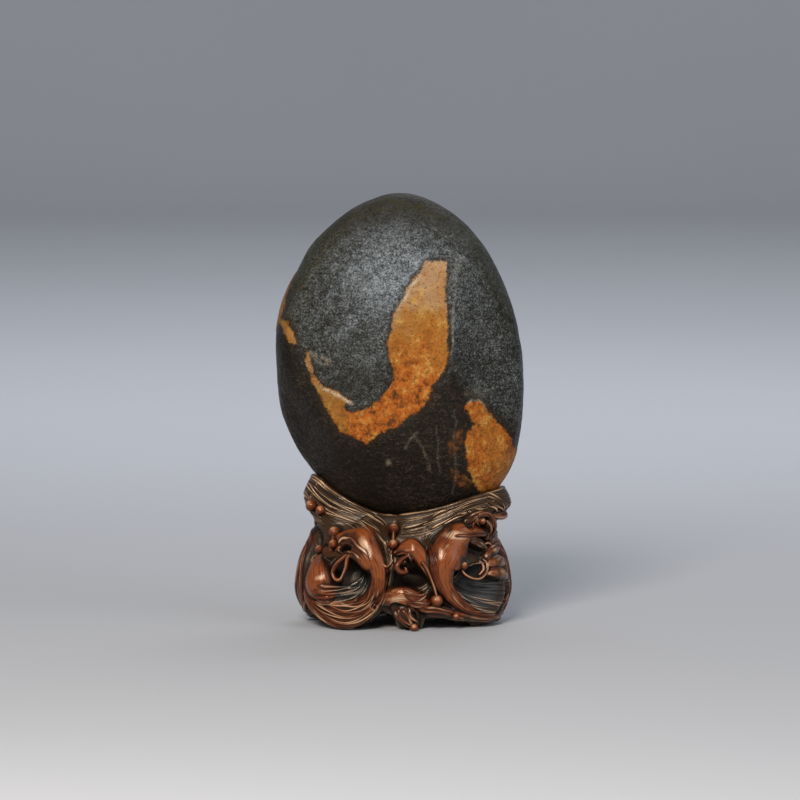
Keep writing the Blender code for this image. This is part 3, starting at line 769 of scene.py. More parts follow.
    # Pale lines: the line, how wide it is, and how strong. The first two are painted highlights
    # along the raised ledges beside the band; the rest are pale vein lines.
    veins_and_highlights: tuple[tuple[Rows, float, float], ...] = (
        (((-46.5, 145.8), (-39.8, 143.3), (-32, 138.4), (-29, 137)), 1.0, 1.0),
        (((-1.5, 193), (1.5, 197.5), (5, 203.5), (8, 209), (12.5, 213.5)), 1.3, 0.7),
        (((9, 117), (13, 111), (16.5, 104), (18, 96.5)), 0.8, 0.14),
        (((36, 226), (34, 215), (32.5, 207), (33.5, 200), (31.8, 190)), 0.7, 0.16),
        (((32.3, 194), (31.6, 186), (32, 176), (31, 166)), 0.5, 0.4),
        (((32, 133), (34, 126), (32, 118), (32.5, 108.5), (34, 96.5), (31.5, 83)), 0.6, 0.12),
        (((22, 122), (23.5, 112), (22.5, 104), (24.5, 96)), 0.6, 0.09),
        (((3, 110), (6.5, 116), (10.5, 119.5)), 0.7, 0.16),
        (((-7, 101.8), (-6.2, 101.2)), 1.3, 0.3),
        (((40.8, 137), (43, 138.9), (48.2, 138.9), (51.3, 136.2)), 0.6, 0.5),
        (((41, 142.5), (45, 144), (49, 142)), 2.2, 0.10),
        (((-54, 168), (-50, 165), (-45, 163.5), (-41, 162)), 1.0, 0.3),
        (((-54, 166), (-49, 161.5), (-43, 160.5)), 0.7, 0.25),
    )
    vein_wave: tuple[float, float, float] = (7.0, 2.2, 0.9)  # size, seed, how far they stray
    vein_fade: tuple[float, float, float] = (5.0, 9.1, 0.9)  # size, seed, how much they fade
    vein_mean: float = 0.85

    # Where the skin turns darker and browner towards the bottom, and how softly.
    low_edge: Rows = (
        (-75, 196), (-62, 172), (-50, 150), (-40, 134), (-20, 118), (5, 128), (20, 146),
        (32, 156), (45, 140), (75, 120),
    )
    low_reach: float = 34.0
    # The painted sheen on the upper face and in its dish, in strokes that lean to the right.
    sheen: Spot = (-1.0, 215.0, 31.0, 31.0)
    dish_sheen: Spot = (-33.0, 182.0, 24.0, 30.0)
    stroke_lean: tuple[float, float] = (0.77, 0.64)
    stroke_stretch: float = 3.5
    stroke_lumps: tuple[float, float] = (17.0, 4.4)  # size, seed
    # The shaded top edge, from this height and over this reach, and the shade on the left.
    top_shade: tuple[float, float] = (231.0, 20.0)
    left_shade: Spot = (-28.0, 152.0, 22.0, 14.0)
    # How deep the rind's colour is: from the band's top over its length, paler in its left arm.
    band_span: tuple[float, float] = (222.0, 95.0)
    arm_pale: tuple[float, float] = (28.0, 8.0)
    patch_depth: tuple[float, float] = (38.0, 0.72)  # right of this, this deep
    streak_depth: tuple[float, float] = (-60.0, 0.35)  # left of this, this deep
    # The olive rim of the upper half, and the olive left arm of the band: starts and reaches.
    rim: tuple[float, float] = (60.0, 14.0)
    rim_middle: float = 156.0
    rim_squash: float = 0.72
    rim_low: tuple[float, float] = (165.0, 40.0)
    arm: tuple[float, float] = (26.0, 9.0)
    arm_top: tuple[float, float] = (175.0, 8.0)

    def radius(self, d: Array) -> Array:
        """Distance from the centre to the skin.

        Args:
            d: directions, one row each.

        Returns:
            One distance for each direction.
        """
        flat = np.hypot(d[:, 0], d[:, 2])
        outline = ring_spline(self.outline, np.arctan2(d[:, 2], d[:, 0]) / TAU)
        depth = np.where(d[:, 1] < 0, self.front_depth, self.back_depth)
        body = (flat / outline) ** self.fullness + (np.abs(d[:, 1]) / depth) ** self.fullness
        near = np.exp(-self.face_blend * body ** (-1 / self.fullness))
        for normal, distance in self.faces:
            towards = d @ unit(np.array(normal))
            facing = towards > self.least_facing
            near[facing] += np.exp(-self.face_blend * distance / towards[facing])
        return -np.log(near) / self.face_blend

    def front_view(self, points: Array) -> tuple[Array, Array]:
        """Where points stand in the front view: across, and up."""
        up = points[:, 2] * math.cos(VIEW_TILT)
        return points[:, 0], up + (points[:, 1] - VIEW_PIVOT) * math.sin(VIEW_TILT)

    def skin(self, d: Array) -> tuple[Array, Array]:
        """The stone's skin, without its rind.

        Args:
            d: directions from the centre, one row each.

        Returns:
            (points from the floor's origin, distance inside the rind's outline).
        """
        points = d * self.radius(d)[:, None]
        across = (points[:, 0] - self.dish_centre[0]) / self.dish_radii[0]
        up = (points[:, 2] - self.dish_centre[1]) / self.dish_radii[1]
        dish = self.dish_depth * np.clip(1 - across ** 2 - up ** 2, 0, 1) ** self.dish_power
        points[:, 1] += np.where(d[:, 1] < 0, dish, 0.0)
        x, z, reach, depth = self.notch
        off = ((points[:, 0] - x) ** 2 + (points[:, 2] - z) ** 2) / reach ** 2
        lump = rough(points, self.lump_size) * self.lump_height - depth * np.exp(-off)
        for size, seed, height in self.dents:
            lump += rough(points, size, seed) * height
        points += d * lump[:, None] + np.array(self.centre)
        across, up = self.front_view(points)
        # The two painted highlight lines stand on raised ledges.
        for line, *_ in self.veins_and_highlights[:2]:
            ledge = np.exp(-(line_distance(line, across, up) / self.ledge[0]) ** 2)
            points += d * (self.ledge[1] * ledge * (d[:, 1] < 0))[:, None]
        rind = self.rind_distance(points)
        ragged = sum(rough(points, size, seed) * far for size, seed, far in self.rind_edge)
        points += d * (self.rind_height * soft_step((rind + ragged) / self.rind_step))[:, None]
        return points, rind

    def rind_distance(self, points: Array) -> Array:
        """Distance inside the rind's outlines, negative outside them.

        Args:
            points: the skin's points.

        Returns:
            One distance for each point.
        """
        across, up = self.front_view(points)
        front = inside_any((self.band, self.patch, self.streak, self.wedge), across, up)
        smear = inside_any(self.smears, across, up)
        front = np.maximum(front, np.minimum(smear - self.smear_inset, self.smear_most))
        back = inside_any(self.back_rind, across, up)
        share = ramp(points[:, 1], -self.turn, 2 * self.turn)
        return front * (1 - share) + back * share

    def vein_and_highlight_lines(self, points: Array) -> Array:
        """How much of the pale vein lines, and of the painted highlights on the ledges, shows.

        Args:
            points: the skin's points.

        Returns:
            A share for each point.
        """
        across, up = self.front_view(points)
        *lumps, stray = self.vein_wave
        wavy = across + stray * rough(points, *lumps)
        chalk_and_highlight = np.zeros(len(points))
        for line, width, strength in self.veins_and_highlights:
            near = strength * np.exp(-(line_distance(line, wavy, up) / width) ** 2)
            chalk_and_highlight = np.maximum(chalk_and_highlight, np.where(points[:, 1] < 0, near, 0.0))
        *lumps, fade = self.vein_fade
        return np.clip(chalk_and_highlight * (self.vein_mean + fade * rough(points, *lumps)), 0, 1)

    def marks(self, points: Array, rind: Array) -> Fields:
        """The values that the finish reads.

        Args:
            points: the skin's points.
            rind: their distance inside the rind's outline.

        Returns:
            The fields by name.
        """
        across, up = self.front_view(points)
        edge = np.interp(across, *np.array(self.low_edge).T)
        # Strokes of painted sheen over the upper face and its dish.
        c, s = self.stroke_lean
        stroke = (up * c - across * s) * self.stroke_stretch
        stroke = np.column_stack([across * c + up * s, stroke, across * 0])
        sheen_strokes = rough(stroke, *self.stroke_lumps)
        sheen = soft_spot(self.sheen, across, up) * (0.88 + 0.45 * sheen_strokes)
        sheen += 0.4 * soft_spot(self.dish_sheen, across, up) * np.clip(sheen_strokes, 0, 1)
        # The rind's stain, from pale at the band's top to rust.
        top, length = self.band_span
        stain = np.clip((top - up) / length, 0, 1)
        stain -= 0.4 * stain * ramp(-across, *self.arm_pale)
        for side, (x, deep) in ((1, self.patch_depth), (-1, self.streak_depth)):
            stain = np.where(side * (across - x) > 0, deep, stain)
        # Olive on the upper rim, and on the band's left arm.
        rim = ramp(np.hypot(across, (up - self.rim_middle) * self.rim_squash), *self.rim)
        olive = rim * ramp(up, *self.rim_low)
        top, reach = self.arm_top
        arm = ramp(-across, *self.arm) * ramp(-up, -top, reach)
        olive = np.where(rind > 0.8, np.maximum(olive, 0.75 * arm), olive)
        shade = 1.1 * ramp(up, *self.top_shade)
        shade += 0.45 * soft_spot(self.left_shade, across, up)
        smear = ramp(inside_any(self.smears, across, up), -2.5, 1.5)
        outside = soft_step(-outline_distance(self.patch, across, up))
        return {
            "rind": rind, "low": soft_step((edge - up) / self.low_reach + 0.5),
            "chalk_and_highlight": self.vein_and_highlight_lines(points), "sheen": np.clip(sheen, 0, 1),
            "rind_depth": stain, "olive": olive * 0.8, "shade": shade,
            "rind_firm": 1 - self.smear_gap * smear * outside,
        }

    def build(self, finish: RiverStone) -> Object:
        """Models the stone and shows it.

        Args:
            finish: its finish.

        Returns:
            The piece.
        """
        bm = bmesh.new()
        bmesh.ops.create_cube(bm, size=2.0)
        bmesh.ops.subdivide_edges(bm, edges=bm.edges[:], cuts=self.cuts, use_grid_fill=True)
        d = unit(np.tan(np.array([vert.co for vert in bm.verts]) * (math.pi / 4)))
        points, rind = self.skin(d)
        for vert, point in zip(bm.verts, points):
            vert.co = point
        bmesh.ops.recalc_face_normals(bm, faces=bm.faces[:])
        mesh = new_mesh("stone_skin", bm)
        for name, values in self.marks(points, rind).items():
            keep_field(mesh, name, values)
        return show_piece("stone_skin", mesh, finish.material(), "stone")


# ---- the carving ----
class Half(Enum):
    """The half of the stand that a copy of the carving is on, in half turns from the front."""

    FRONT = 0
    BACK = 1


@dataclass(frozen=True)
class Ribbon:
    """A ribbon of water on the stand's side.

    A row is: distance round the stand, height, half width, how far it stands out, how much further
    its right edge stands out than its left one, and how far its middle stands above its edges.
    """

    name: str
    warm: float
    edge: float
    rows: Rows
    on_back: bool = True


@dataclass(frozen=True)
class Bowl:
    """A hollow: its place, half sizes, shift of its deepest point, heights of rim and bottom.

    The power shapes its sides, and dark is how much painted shade darkens its middle.
    """

    name: str
    centre: tuple[float, float]
    half: tuple[float, float]
    shift: tuple[float, float]
    rim: float
    deepest: float
    power: float = 0.8
    dark: float = 0.0


@dataclass(frozen=True)
class Ridges:
    """A family of fine rounded strands that flow side by side between two guide lines.

    A guide's rows are distance round the stand, and height or depth below the collar's lip. A
    family of one strand follows the first guide.
    """

    name: str
    count: int
    first: Rows
    last: Rows = ()
    height: float = 0.8
    below_lip: bool = False
    rubbed: float = 1.0


RIBBONS_UNDER = (
    Ribbon("valley_left", 0.0, 2.0, (
        (-41.1, 63.6, 4.9, -1, 0, 0), (-23.2, 58.8, 4.9, -1.5, 0, 0),
        (-11.9, 50.4, 4.3, -2.5, 0, 0), (-10.1, 41.5, 3.6, -4, 0, 0), (-10.7, 29.7, 3.6, -5, 0, 0),
        (-10.4, 19.2, 4.3, -3, 0, 0),
    )),
    Ribbon("valley_right", 0.0, 2.0, (
        (36.3, 67.4, 4.9, -1, 0, 0), (24.7, 63.3, 4.3, -1.5, 0, 0), (18.5, 54.9, 3.6, -2.5, 0, 0),
        (18.2, 44.8, 3.6, -3, 0, 0), (20, 32.6, 3.6, -3, 0, 0), (23.8, 22.1, 3.6, -1, 0, 0),
    )),
)
BOWLS = (
    Bowl("middle_hollow", (2.2, 32.6), (14.1, 7.9), (0.2, 2.6), -3, -15, 0.8, 0.6),
    Bowl("left_bowl", (-35.5, 30.1), (16.9, 17.0), (3.0, 8.6), 0.5, -16, 1, 0.4),
    Bowl("right_bowl", (49.4, 22.0), (22.6, 17.6), (-15.2, 13.8), 2.5, -12, 1.5, 0.1),
    Bowl("upper_right_bowl", (54.0, 62.9), (5.6, 4.9), (0.2, 1.8), 0, -6, 0.8, 0.6),
)
RECESSES = (
    Bowl("left_recess", (-38.7, 47.0), (5.5, 2.1), (0, 0), 4, -3, 0.6, 0.9),
    Bowl("curl_hole", (54.5, 64.5), (2.1, 2.7), (0, 0), 0, -5, 0.6, 1),
)
RIBBONS_OVER = (
    Ribbon("left_wall", 0.5, 2.0, (
        (-67, 39.6, 3.6, 0, 0, 1), (-58.4, 44.5, 4.3, 1, 0, 1), (-48.5, 46.6, 3.6, 0, 0, 1),
        (-40.2, 46.2, 3, -1, 0, 1),
    )),
    Ribbon("left_second_lip", 0.9, 1.0, (
        (-50, 48.6, 2.1, 1, 0, 1), (-39.9, 47.6, 3, 4, 0, 1.5), (-31, 45.5, 4.3, 5.5, 0, 2),
        (-23.8, 41.1, 4.3, 5, 0, 2), (-18.8, 36.6, 3, 4, 0, 2),
    )),
    Ribbon("left_wave", 1.0, 1.2, (
        (-67, 20.2, 3, 2, 0, 1), (-56, 13.7, 4.9, 3, 2, 1.2), (-45.3, 10.1, 6.4, 3.5, 3.5, 1.2),
        (-34.2, 8.9, 7, 4.5, 4.5, 1.2), (-25, 12.7, 6.7, 4, 3.5, 1.2),
        (-17.9, 19.8, 5.8, 4, 2.5, 1.5), (-14.9, 28.8, 4.9, 4.5, 1.5, 2),
        (-15.5, 37.1, 5.5, 6, 0.5, 3), (-19.7, 42.4, 7.9, 8.5, 0, 4.5),
        (-27.4, 49.8, 8.8, 9.5, 0, 5), (-35.7, 52.1, 6.4, 8, 0, 4), (-44.7, 53.8, 3.9, 5.5, 0, 2.5),
        (-51.8, 54.2, 1.8, 2, 0, 1),
    )),
    Ribbon("side_lobe", 1.0, 1.5, (
        (-64.9, 44.4, 3.6, 0, 0, 1.5), (-59.6, 37.9, 6.7, 3.5, 0, 3), (-55.1, 31.2, 9.7, 7, 0, 5.5),
        (-51.8, 24.2, 9.4, 7, 0, 5.5), (-48.8, 19, 5.5, 3, 0, 2.5),
    )),
    Ribbon("middle_dome", 1.0, 1.2, (
        (-5.7, 46.9, 1.5, 2, 0, 1), (-0.9, 48.5, 3.9, 4.5, 0, 2.5), (5.1, 48.2, 6.7, 7.5, 0, 4),
        (10.1, 44.8, 5.8, 7.5, 0, 3.5), (12.5, 39.3, 3.6, 6, 0, 2.5), (14.6, 34.8, 2.1, 4.5, 0, 2),
        (17, 29.3, 1.5, 3.5, 0, 1.5),
    )),
    Ribbon("lower_roll", 0.9, 1.5, (
        (-16.1, 17, 2.4, 1, 0, 1), (-8.9, 19.5, 5.2, 5, -1, 2.5), (-0.6, 20.4, 6.7, 7.5, -1, 3.5),
        (6.8, 18.5, 5.8, 6, -1, 2.5), (15.8, 13.9, 4.3, 3.5, 0, 1.5), (25.6, 11.2, 3.6, 2.5, 0, 1),
        (36, 8.2, 2.7, 2, 0, 1),
    )),
    Ribbon("right_leaf", 0.45, 1.0, (
        (43.5, 54.4, 2, 4.5, 0, 1.2), (48, 53.4, 3.6, 5.5, 0.5, 2), (53, 51, 3.4, 5.2, 0.5, 2),
        (57.5, 48.4, 2.2, 4, 0, 1.2), (61, 46, 0.8, 2.5, 0, 0.5),
    )),
    Ribbon("right_wave", 1.0, 1.2, (
        (59, 57.2, 1.5, 3, 0, 1), (47.9, 59.3, 3.9, 6.5, 0, 2.5), (39.6, 57.1, 7.9, 9, 0, 4),
        (29.8, 47.2, 11.5, 11, 0, 5.5), (24.4, 39.9, 10, 10.5, 0, 5.5),
        (22.9, 34.6, 7.9, 8.5, 0, 4.5), (24.4, 26.7, 5.8, 6, 0, 3), (28.6, 20.5, 4.3, 4, 0, 2),
        (35.4, 14.8, 3.3, 3, 0, 1.5), (44.4, 9.4, 2.7, 2.5, 0, 1), (56.9, 5.6, 2.4, 2.5, 0, 1),
        (76.5, 5.6, 1.8, 2, 0, 1),
    )),
    Ribbon("shell_top", 0.6, 1.0, (
        (56.9, 42.2, 1.6, 2.5, 0, 1), (62.8, 43.8, 3.4, 4.5, 0.5, 1.6),
        (71, 46, 3.3, 4.8, 0.8, 1.8), (79, 45.5, 2.2, 4, 0.5, 1.4), (87, 41, 0.7, 2.5, 0, 0.5),
    )),
    Ribbon("shell_middle", 0.6, 1.0, (
        (55.4, 37.6, 1.6, 2.5, 0, 1), (60.5, 38.2, 3.4, 5, 0.5, 1.8),
        (68.5, 38.6, 3.6, 5, 0.8, 2), (76.5, 36.2, 2.6, 4, 0.5, 1.5), (83, 30.5, 0.7, 2.2, 0, 0.5),
    )),
    Ribbon("shell_low", 0.6, 1.0, (
        (54.8, 32.6, 1.4, 2, 0, 1), (60.2, 32.4, 3.6, 5, 0.5, 2), (67.5, 31.2, 3.9, 5, 0.8, 2.2),
        (74.5, 27.2, 2.7, 4.2, 0.5, 1.6), (79, 21, 1.6, 4, 0, 1), (80, 13.7, 2.1, 3.5, 0, 1),
        (71.2, 8.2, 1.6, 3, 0, 1),
    )),
    Ribbon("front_foot", 0.6, 1.2, (
        (-4.5, 14.2, 3.6, 2, 0, 1), (-0.9, 11.8, 4.9, 4.5, 0, 1.5), (3.6, 7.2, 4.3, 6, 0, 1.5),
        (6.6, 2.3, 2.4, 6, 0, 1),
    )),
    Ribbon("side_roll", 0.9, 1.5, (
        (74, 6, 5, 2, 0, 1), (84, 13, 7, 3, -1, 2), (91, 25, 7, 4.5, -1, 2.5),
        (91, 38, 7, 5, 0, 2.5), (84, 49, 8, 5.5, 0, 3), (74, 52, 6, 3, 0, 2),
    )),
    Ribbon("upper_right", 0.6, 1.2, (
        (44.4, 64.5, 3, 1, 0, 1), (49.4, 67.6, 3.6, 2.5, 0, 1), (54.5, 66.1, 3, 3.5, 0, 2),
        (61.1, 60.6, 3, 3, 0, 2), (64, 53.8, 2.4, 2, 0, 1),
    ), on_back=False),
)
RIDGES = (
    Ridges("collar_left", 11, (
        (-93, 0.8), (-69.1, 0.6), (-65.5, 0.2), (-58.7, 0.3), (-50.3, 0.4), (-39.9, 1),
        (-20.5, 3.8), (-11.3, 12),
    ), (
        (-93, 4.5), (-87.3, 9), (-72.1, 13.3), (-65.5, 11.7), (-55.4, 8.9), (-45.3, 8.5),
        (-25.6, 12.7), (-15.2, 20.3),
    ), below_lip=True),
    Ridges("collar_right", 10, (
        (-9.2, 2.3), (5.7, 2.1), (19.4, 1.9), (31.6, 1.2), (41.4, 1), (50, 0.7), (59, 0.8),
        (69.1, 1.7), (91, 0.8),
    ), (
        (-5.4, 11.1), (6.8, 11.7), (19.1, 10.7), (28, 9.4), (37.8, 7), (45.9, 6.5), (53.9, 7),
        (62.8, 6.9), (91, 9),
    ), rubbed=0.9, below_lip=True),
    Ridges("collar_crest_low", 1, (
        (-4.5, 6.7), (9.5, 5.9), (20.5, 4.3), (31, 2), (38.4, 2.6),
    ), height=1.5, below_lip=True),
    Ridges("collar_crest_middle", 1, (
        (18.5, 10.1), (31.6, 7.1), (40.2, 5.3), (47.7, 6.1),
    ), height=1.3, below_lip=True),
    Ridges("collar_crest_high", 1, (
        (27.1, 9.6), (37.8, 7.3), (43.5, 7.3), (50.9, 6.3), (58.4, 7.9),
    ), height=1.3, below_lip=True),
    Ridges("valley_left", 4, (
        (-33.1, 61.2), (-16.7, 54.4), (-11.9, 46.2), (-9.5, 38.5), (-10.1, 29.6), (-11, 22.4),
    ), (
        (-14.6, 56.8), (-8.6, 49.6), (-7.4, 43.4), (-6.3, 35.8), (-7.4, 27.2), (-6.6, 19.6),
    ), rubbed=0.9),
    Ridges("valley_right", 4, (
        (12.5, 57), (15, 52.8), (16.4, 46.6), (16.7, 38.3), (18.8, 28.4), (23.2, 18.9),
    ), (
        (19.4, 58), (18.2, 53.6), (19.1, 46.6), (19.4, 38.1), (21.1, 28.8), (25.6, 21),
    ), rubbed=0.45),
    Ridges("left_shell", 10, (
        (-61.9, 16.4), (-53.9, 8.9), (-44.7, 3.9), (-35.7, 1.5), (-26.8, 3.2), (-19.1, 8.3),
        (-13.1, 15.2), (-9.5, 22.2), (-8.6, 30.7),
    ), (
        (-57.8, 19.9), (-50.6, 17.2), (-42, 15.8), (-34, 15.3), (-26.5, 16.8), (-21.1, 20),
        (-18.8, 25.7), (-18.8, 33.1),
    ), height=0.75),
    Ridges("left_bowl", 6, (
        (-60.2, 16.2), (-47.9, 14.6), (-38.1, 14.9), (-29.8, 17.1), (-24.4, 23.6), (-22, 29.8),
    ), (
        (-50.3, 25.5), (-42.6, 25.7), (-36, 27.6), (-30.4, 30.7), (-27.4, 35.1),
    ), height=0.6, rubbed=0.8),
    Ridges("right_bowl", 8, (
        (25.5, 25), (30, 18.5), (37.5, 12.5), (49, 8.8), (64, 7.2), (80, 6.5),
    ), (
        (31, 31), (36, 24.5), (44, 19), (55, 16.2), (68, 15), (82, 15.5),
    ), height=0.45, rubbed=0.85),
    Ridges("right_fan", 4, (
        (35, 30), (42, 25), (53, 21.5), (66, 20), (80, 21),
    ), (
        (42, 32.5), (50, 28.6), (60, 26.5), (70, 26), (80, 26.5),
    ), height=0.5, rubbed=0.35),
    Ridges("right_shell", 3, (
        (60, 45.5), (66, 48.2), (74, 49), (82, 46.5), (89, 40),
    ), (
        (62, 28), (69, 25.6), (74, 21.5), (77, 15),
    ), height=0.5, rubbed=0.7),
    Ridges("front_foot", 5, (
        (-6, 13.2), (-3.9, 8.2), (1.2, 4.6), (5.4, 1.5),
    ), (
        (5.1, 15.6), (7.4, 11.4), (9.5, 6.3), (9.8, 1.3),
    ), height=0.9, rubbed=0.8),
    Ridges("hollow_foot", 5, (
        (-0.3, 25.5), (5.1, 23.6), (11.3, 24.1), (15.5, 27.1),
    ), (
        (1.5, 17.4), (7.7, 15.7), (13.1, 16.1), (17, 19.3),
    ), height=0.5, rubbed=0.8),
    Ridges("roll_foot", 3, (
        (10.1, 15.3), (20.8, 14), (31.6, 10.6), (45.9, 6.9), (68.2, 4.4),
    ), (
        (7.7, 10.3), (20, 9), (32.5, 5.6), (48.5, 3.8), (71.8, 2.8),
    ), rubbed=0.8),
    Ridges("right_curl", 3, (
        (42.9, 65.8), (48.5, 69.7), (56.3, 70.3), (62.5, 64.9), (75.6, 56.4), (64.6, 51.1),
    ), (
        (46.8, 61.7), (49.7, 65.3), (54.8, 65.7), (59.3, 61.9), (61.4, 57.3), (56.9, 54.4),
    ), rubbed=0.7),
    Ridges("right_leaf", 3, (
        (44, 56), (49, 55.8), (54, 53.6), (59, 48.8),
    ), (
        (44.5, 53), (48.5, 51), (52.5, 48.4), (57, 46.2),
    ), height=0.6, rubbed=0.8),
    Ridges("left_lip", 1, (
        (-46.5, 48.9), (-42.3, 51.7), (-38.1, 51.5), (-34, 51.1), (-28.6, 47.6), (-23.2, 44.3),
        (-18.8, 39.2),
    ), height=0.7, rubbed=1.2),
    Ridges("left_lip_low", 1, (
        (-39.3, 44.9), (-34, 45.1), (-29.8, 43.6), (-25, 39.6),
    ), height=0.7, rubbed=0.9),
    Ridges("middle_lip", 1, (
        (-6, 45.4), (-0.9, 45.7), (3, 44.3), (6, 40),
    ), height=0.7, rubbed=0.9),
    Ridges("right_lip", 1, (
        (33, 56.3), (38, 57.4), (42.8, 57.9), (48, 58.3), (55, 57.4), (61, 56.1),
    ), height=0.6, rubbed=0.7),
    Ridges("rim_left", 1, (
        (-93, 0.4), (-60, 0.4), (-30, 0.4), (-6, 0.4),
    ), height=0.6, rubbed=0.8, below_lip=True),
    Ridges("rim_right", 1, (
        (-12, 0.4), (20, 0.4), (55, 0.4), (91, 0.4),
    ), height=0.6, rubbed=0.8, below_lip=True),
    Ridges("side_veil", 9, (
        (56, 64), (66, 68.5), (75, 73), (84, 76), (93, 74.5), (101, 70), (112, 66),
    ), (
        (64, 55), (70, 57), (76, 60), (84, 62), (92, 60.5), (99, 57), (106, 54),
    ), height=0.8, rubbed=0.8),
    Ridges("collar_end", 4, (
        (59.5, 81.5), (64.6, 80), (68.5, 76.7), (73, 71.8), (78, 66),
    ), (
        (55.5, 76.0), (59.3, 73.1), (63.4, 69.8), (68, 65.3), (72, 61),
    ), height=0.9, rubbed=0.9),
    Ridges("side_roll", 5, (
        (70, 3), (83, 5), (96, 16), (99, 32), (97, 44), (88, 57),
    ), (
        (74, 14), (80, 18), (85, 28), (86, 38), (82, 43), (75, 46),
    ), rubbed=0.8),
)
# Drops of spray: distance round the stand, height, how far the centre is off the side, radius.
DROPS = (
    (-69.4, 72.4, 1.6, 3.6), (-65.8, 70, 1.6, 3.2), (-55.1, 57.6, 2, 3.5), (-50.9, 50, 1.2, 3),
    (-9.5, 60.5, 2, 3.4), (-7.4, 51.5, 2, 3.3), (19.4, 18.4, 5.2, 3.8), (6.6, 3, 0.8, 2.6),
    (-64, 46.1, 1.2, 2.8), (31.6, 8.4, 1, 2.2), (36.8, 37.8, 1.5, 2.6),
    (52.6, 65, 1.2, 2.2),
)
# Hooks and threads of spray. A row is: distance round the stand, height, distance out, radius.
THREADS = (
    (  # middle hook
        (3.4, 43.8, 4.6, 1.2), (-1.5, 40.9, 6.2, 1.9), (-4.2, 37.7, 6.5, 2.1), (-2.1, 35, 6, 1.9),
        (1.8, 35.1, 5.5, 1.7), (1.2, 37.4, 5, 0.9),
    ),
    (  # drip
        (11.3, 40.2, 6.5, 1.8), (14, 36.5, 6, 1.5), (16.7, 29.3, 5, 1.2), (18.6, 23, 4, 1.2),
        (19.3, 20, 3, 1.3),
    ),
    (  # small hook
        (-9.2, 35.5, 1, 1.3), (-13.1, 39.4, 3, 1.7), (-10.4, 37.9, 4, 1.6), (-8.3, 39.3, 3.5, 1.2),
        (-6.6, 41.9, 3, 0.6),
    ),
    (  # left foam outer
        (-32.2, 46.2, 4.5, 1.6), (-37.8, 43.6, 1.5, 1.6), (-42.6, 39.1, 0.5, 1.6),
        (-44.7, 34.2, 0, 1.5), (-42, 30.1, 0, 1.5), (-38.7, 30.3, 0, 1.3), (-36.9, 33.4, 0, 0.7),
    ),
    (  # left foam inner
        (-32.8, 45.3, 4, 1.2), (-35.7, 42.2, 2, 1.5), (-35.7, 37.5, 1, 1.5),
        (-37.2, 32.7, 0.5, 1.2), (-39.3, 29.6, 0, 0.7),
    ),
    (  # right ring
        (35.5, 37.5, 1, 0.9), (37.7, 33.5, 0.5, 1.1), (42.6, 30.5, 1, 1.2), (47.7, 30.3, 1.5, 1.2),
        (52.4, 33.6, 2, 1.2), (54.2, 38.1, 2, 1), (52.7, 41.1, 1.5, 0.7),
    ),
    (  # right ring inner
        (48.5, 32.4, -1, 0.9), (51.5, 35, 0.5, 1.2), (52.1, 37.9, 0.5, 1), (50.9, 40.6, 0, 0.6),
    ),
    (  # right eyelet
        (59.4, 48.4, 0, 0.7), (62, 50, 1.8, 1.1), (65.2, 49.2, 2.2, 1.3), (66.4, 46.4, 2, 1.3),
        (64, 44.3, 1.6, 1.1), (60.8, 45.4, 0, 0.7),
    ),
    (  # drop stem
        (-14, 65.7, -3, 1.1), (-9.6, 60.7, -1.2, 1.3), (-7.7, 52.7, -1, 1.5), (-8.8, 46.3, -4, 1.2),
    ),
    (  # left stem
        (-55.7, 57.2, -0.8, 1.3), (-53.3, 53.7, 0, 1.8), (-53, 49.6, 0.2, 2.2),
        (-52.1, 45.6, -0.8, 1.6),
    ),
    (  # right curl
        (53.3, 61.3, -1, 0.9), (49.1, 65.2, 0.8, 1.2), (50.3, 68.8, 1.6, 1.5), (54.5, 69.6, 2, 1.6),
        (59, 66.4, 2, 1.8), (66, 60.1, 2, 1.7), (71, 54, 0.5, 1),
    ),
)
# A leaf of spray that only the front has.
LEAF_TIP = (
    (60.8, 65.9, -2, 1.0), (64.5, 66.7, 0, 2.6), (70, 66.7, 0.8, 3.0), (75, 65.6, 0.2, 2.1),
    (79.5, 63.9, -1, 0.4),
)
# Places painted pale, as wear from handling and as painted highlight: distance, height, half
# length, half width, lean in degrees, and how much.
RUBBED_AND_HIGHLIGHTS = (
    (-25.5, 48.5, 6.4, 4.0, -40, 0.9), (-36.9, 51.5, 5.5, 1.7, 0, 0.7),
    (-19.5, 42, 3.8, 2.4, -65, 0.7), (35, 56.9, 10.0, 3.2, 6, 1.2),
    (27.0, 47.7, 5.2, 2.6, 65, 0.7), (45.3, 56.5, 5.5, 1.8, 8, 0.6),
    (-3, 20.2, 9.0, 2.4, 4, 1.0), (-49.5, 30, 3.2, 2.2, 30, 0.9), (-56, 21.7, 3.6, 1.2, -60, 0.3),
    (3, 46.6, 5.0, 1.5, -10, 0.7), (10.7, 42.7, 3.6, 1.7, -50, 0.4),
    (-3.9, 11.7, 3, 1.8, -40, 0.7), (65, 44.2, 5.5, 2.4, 10, 0.8),
    (64.5, 38.6, 6, 2.5, 0, 0.8), (64, 32.2, 6, 2.5, -10, 0.8), (69, 38, 12, 9, 0, 0.72),
    (-34.2, 5.9, 13.4, 1.4, 4, 0.4), (-14.9, 22.2, 2.4, 4.9, -20, 0.35),
    (31.3, 39.3, 2.4, 7.3, -8, 0.35), (39.9, 14.6, 8.5, 1.2, -20, 0.35),
)


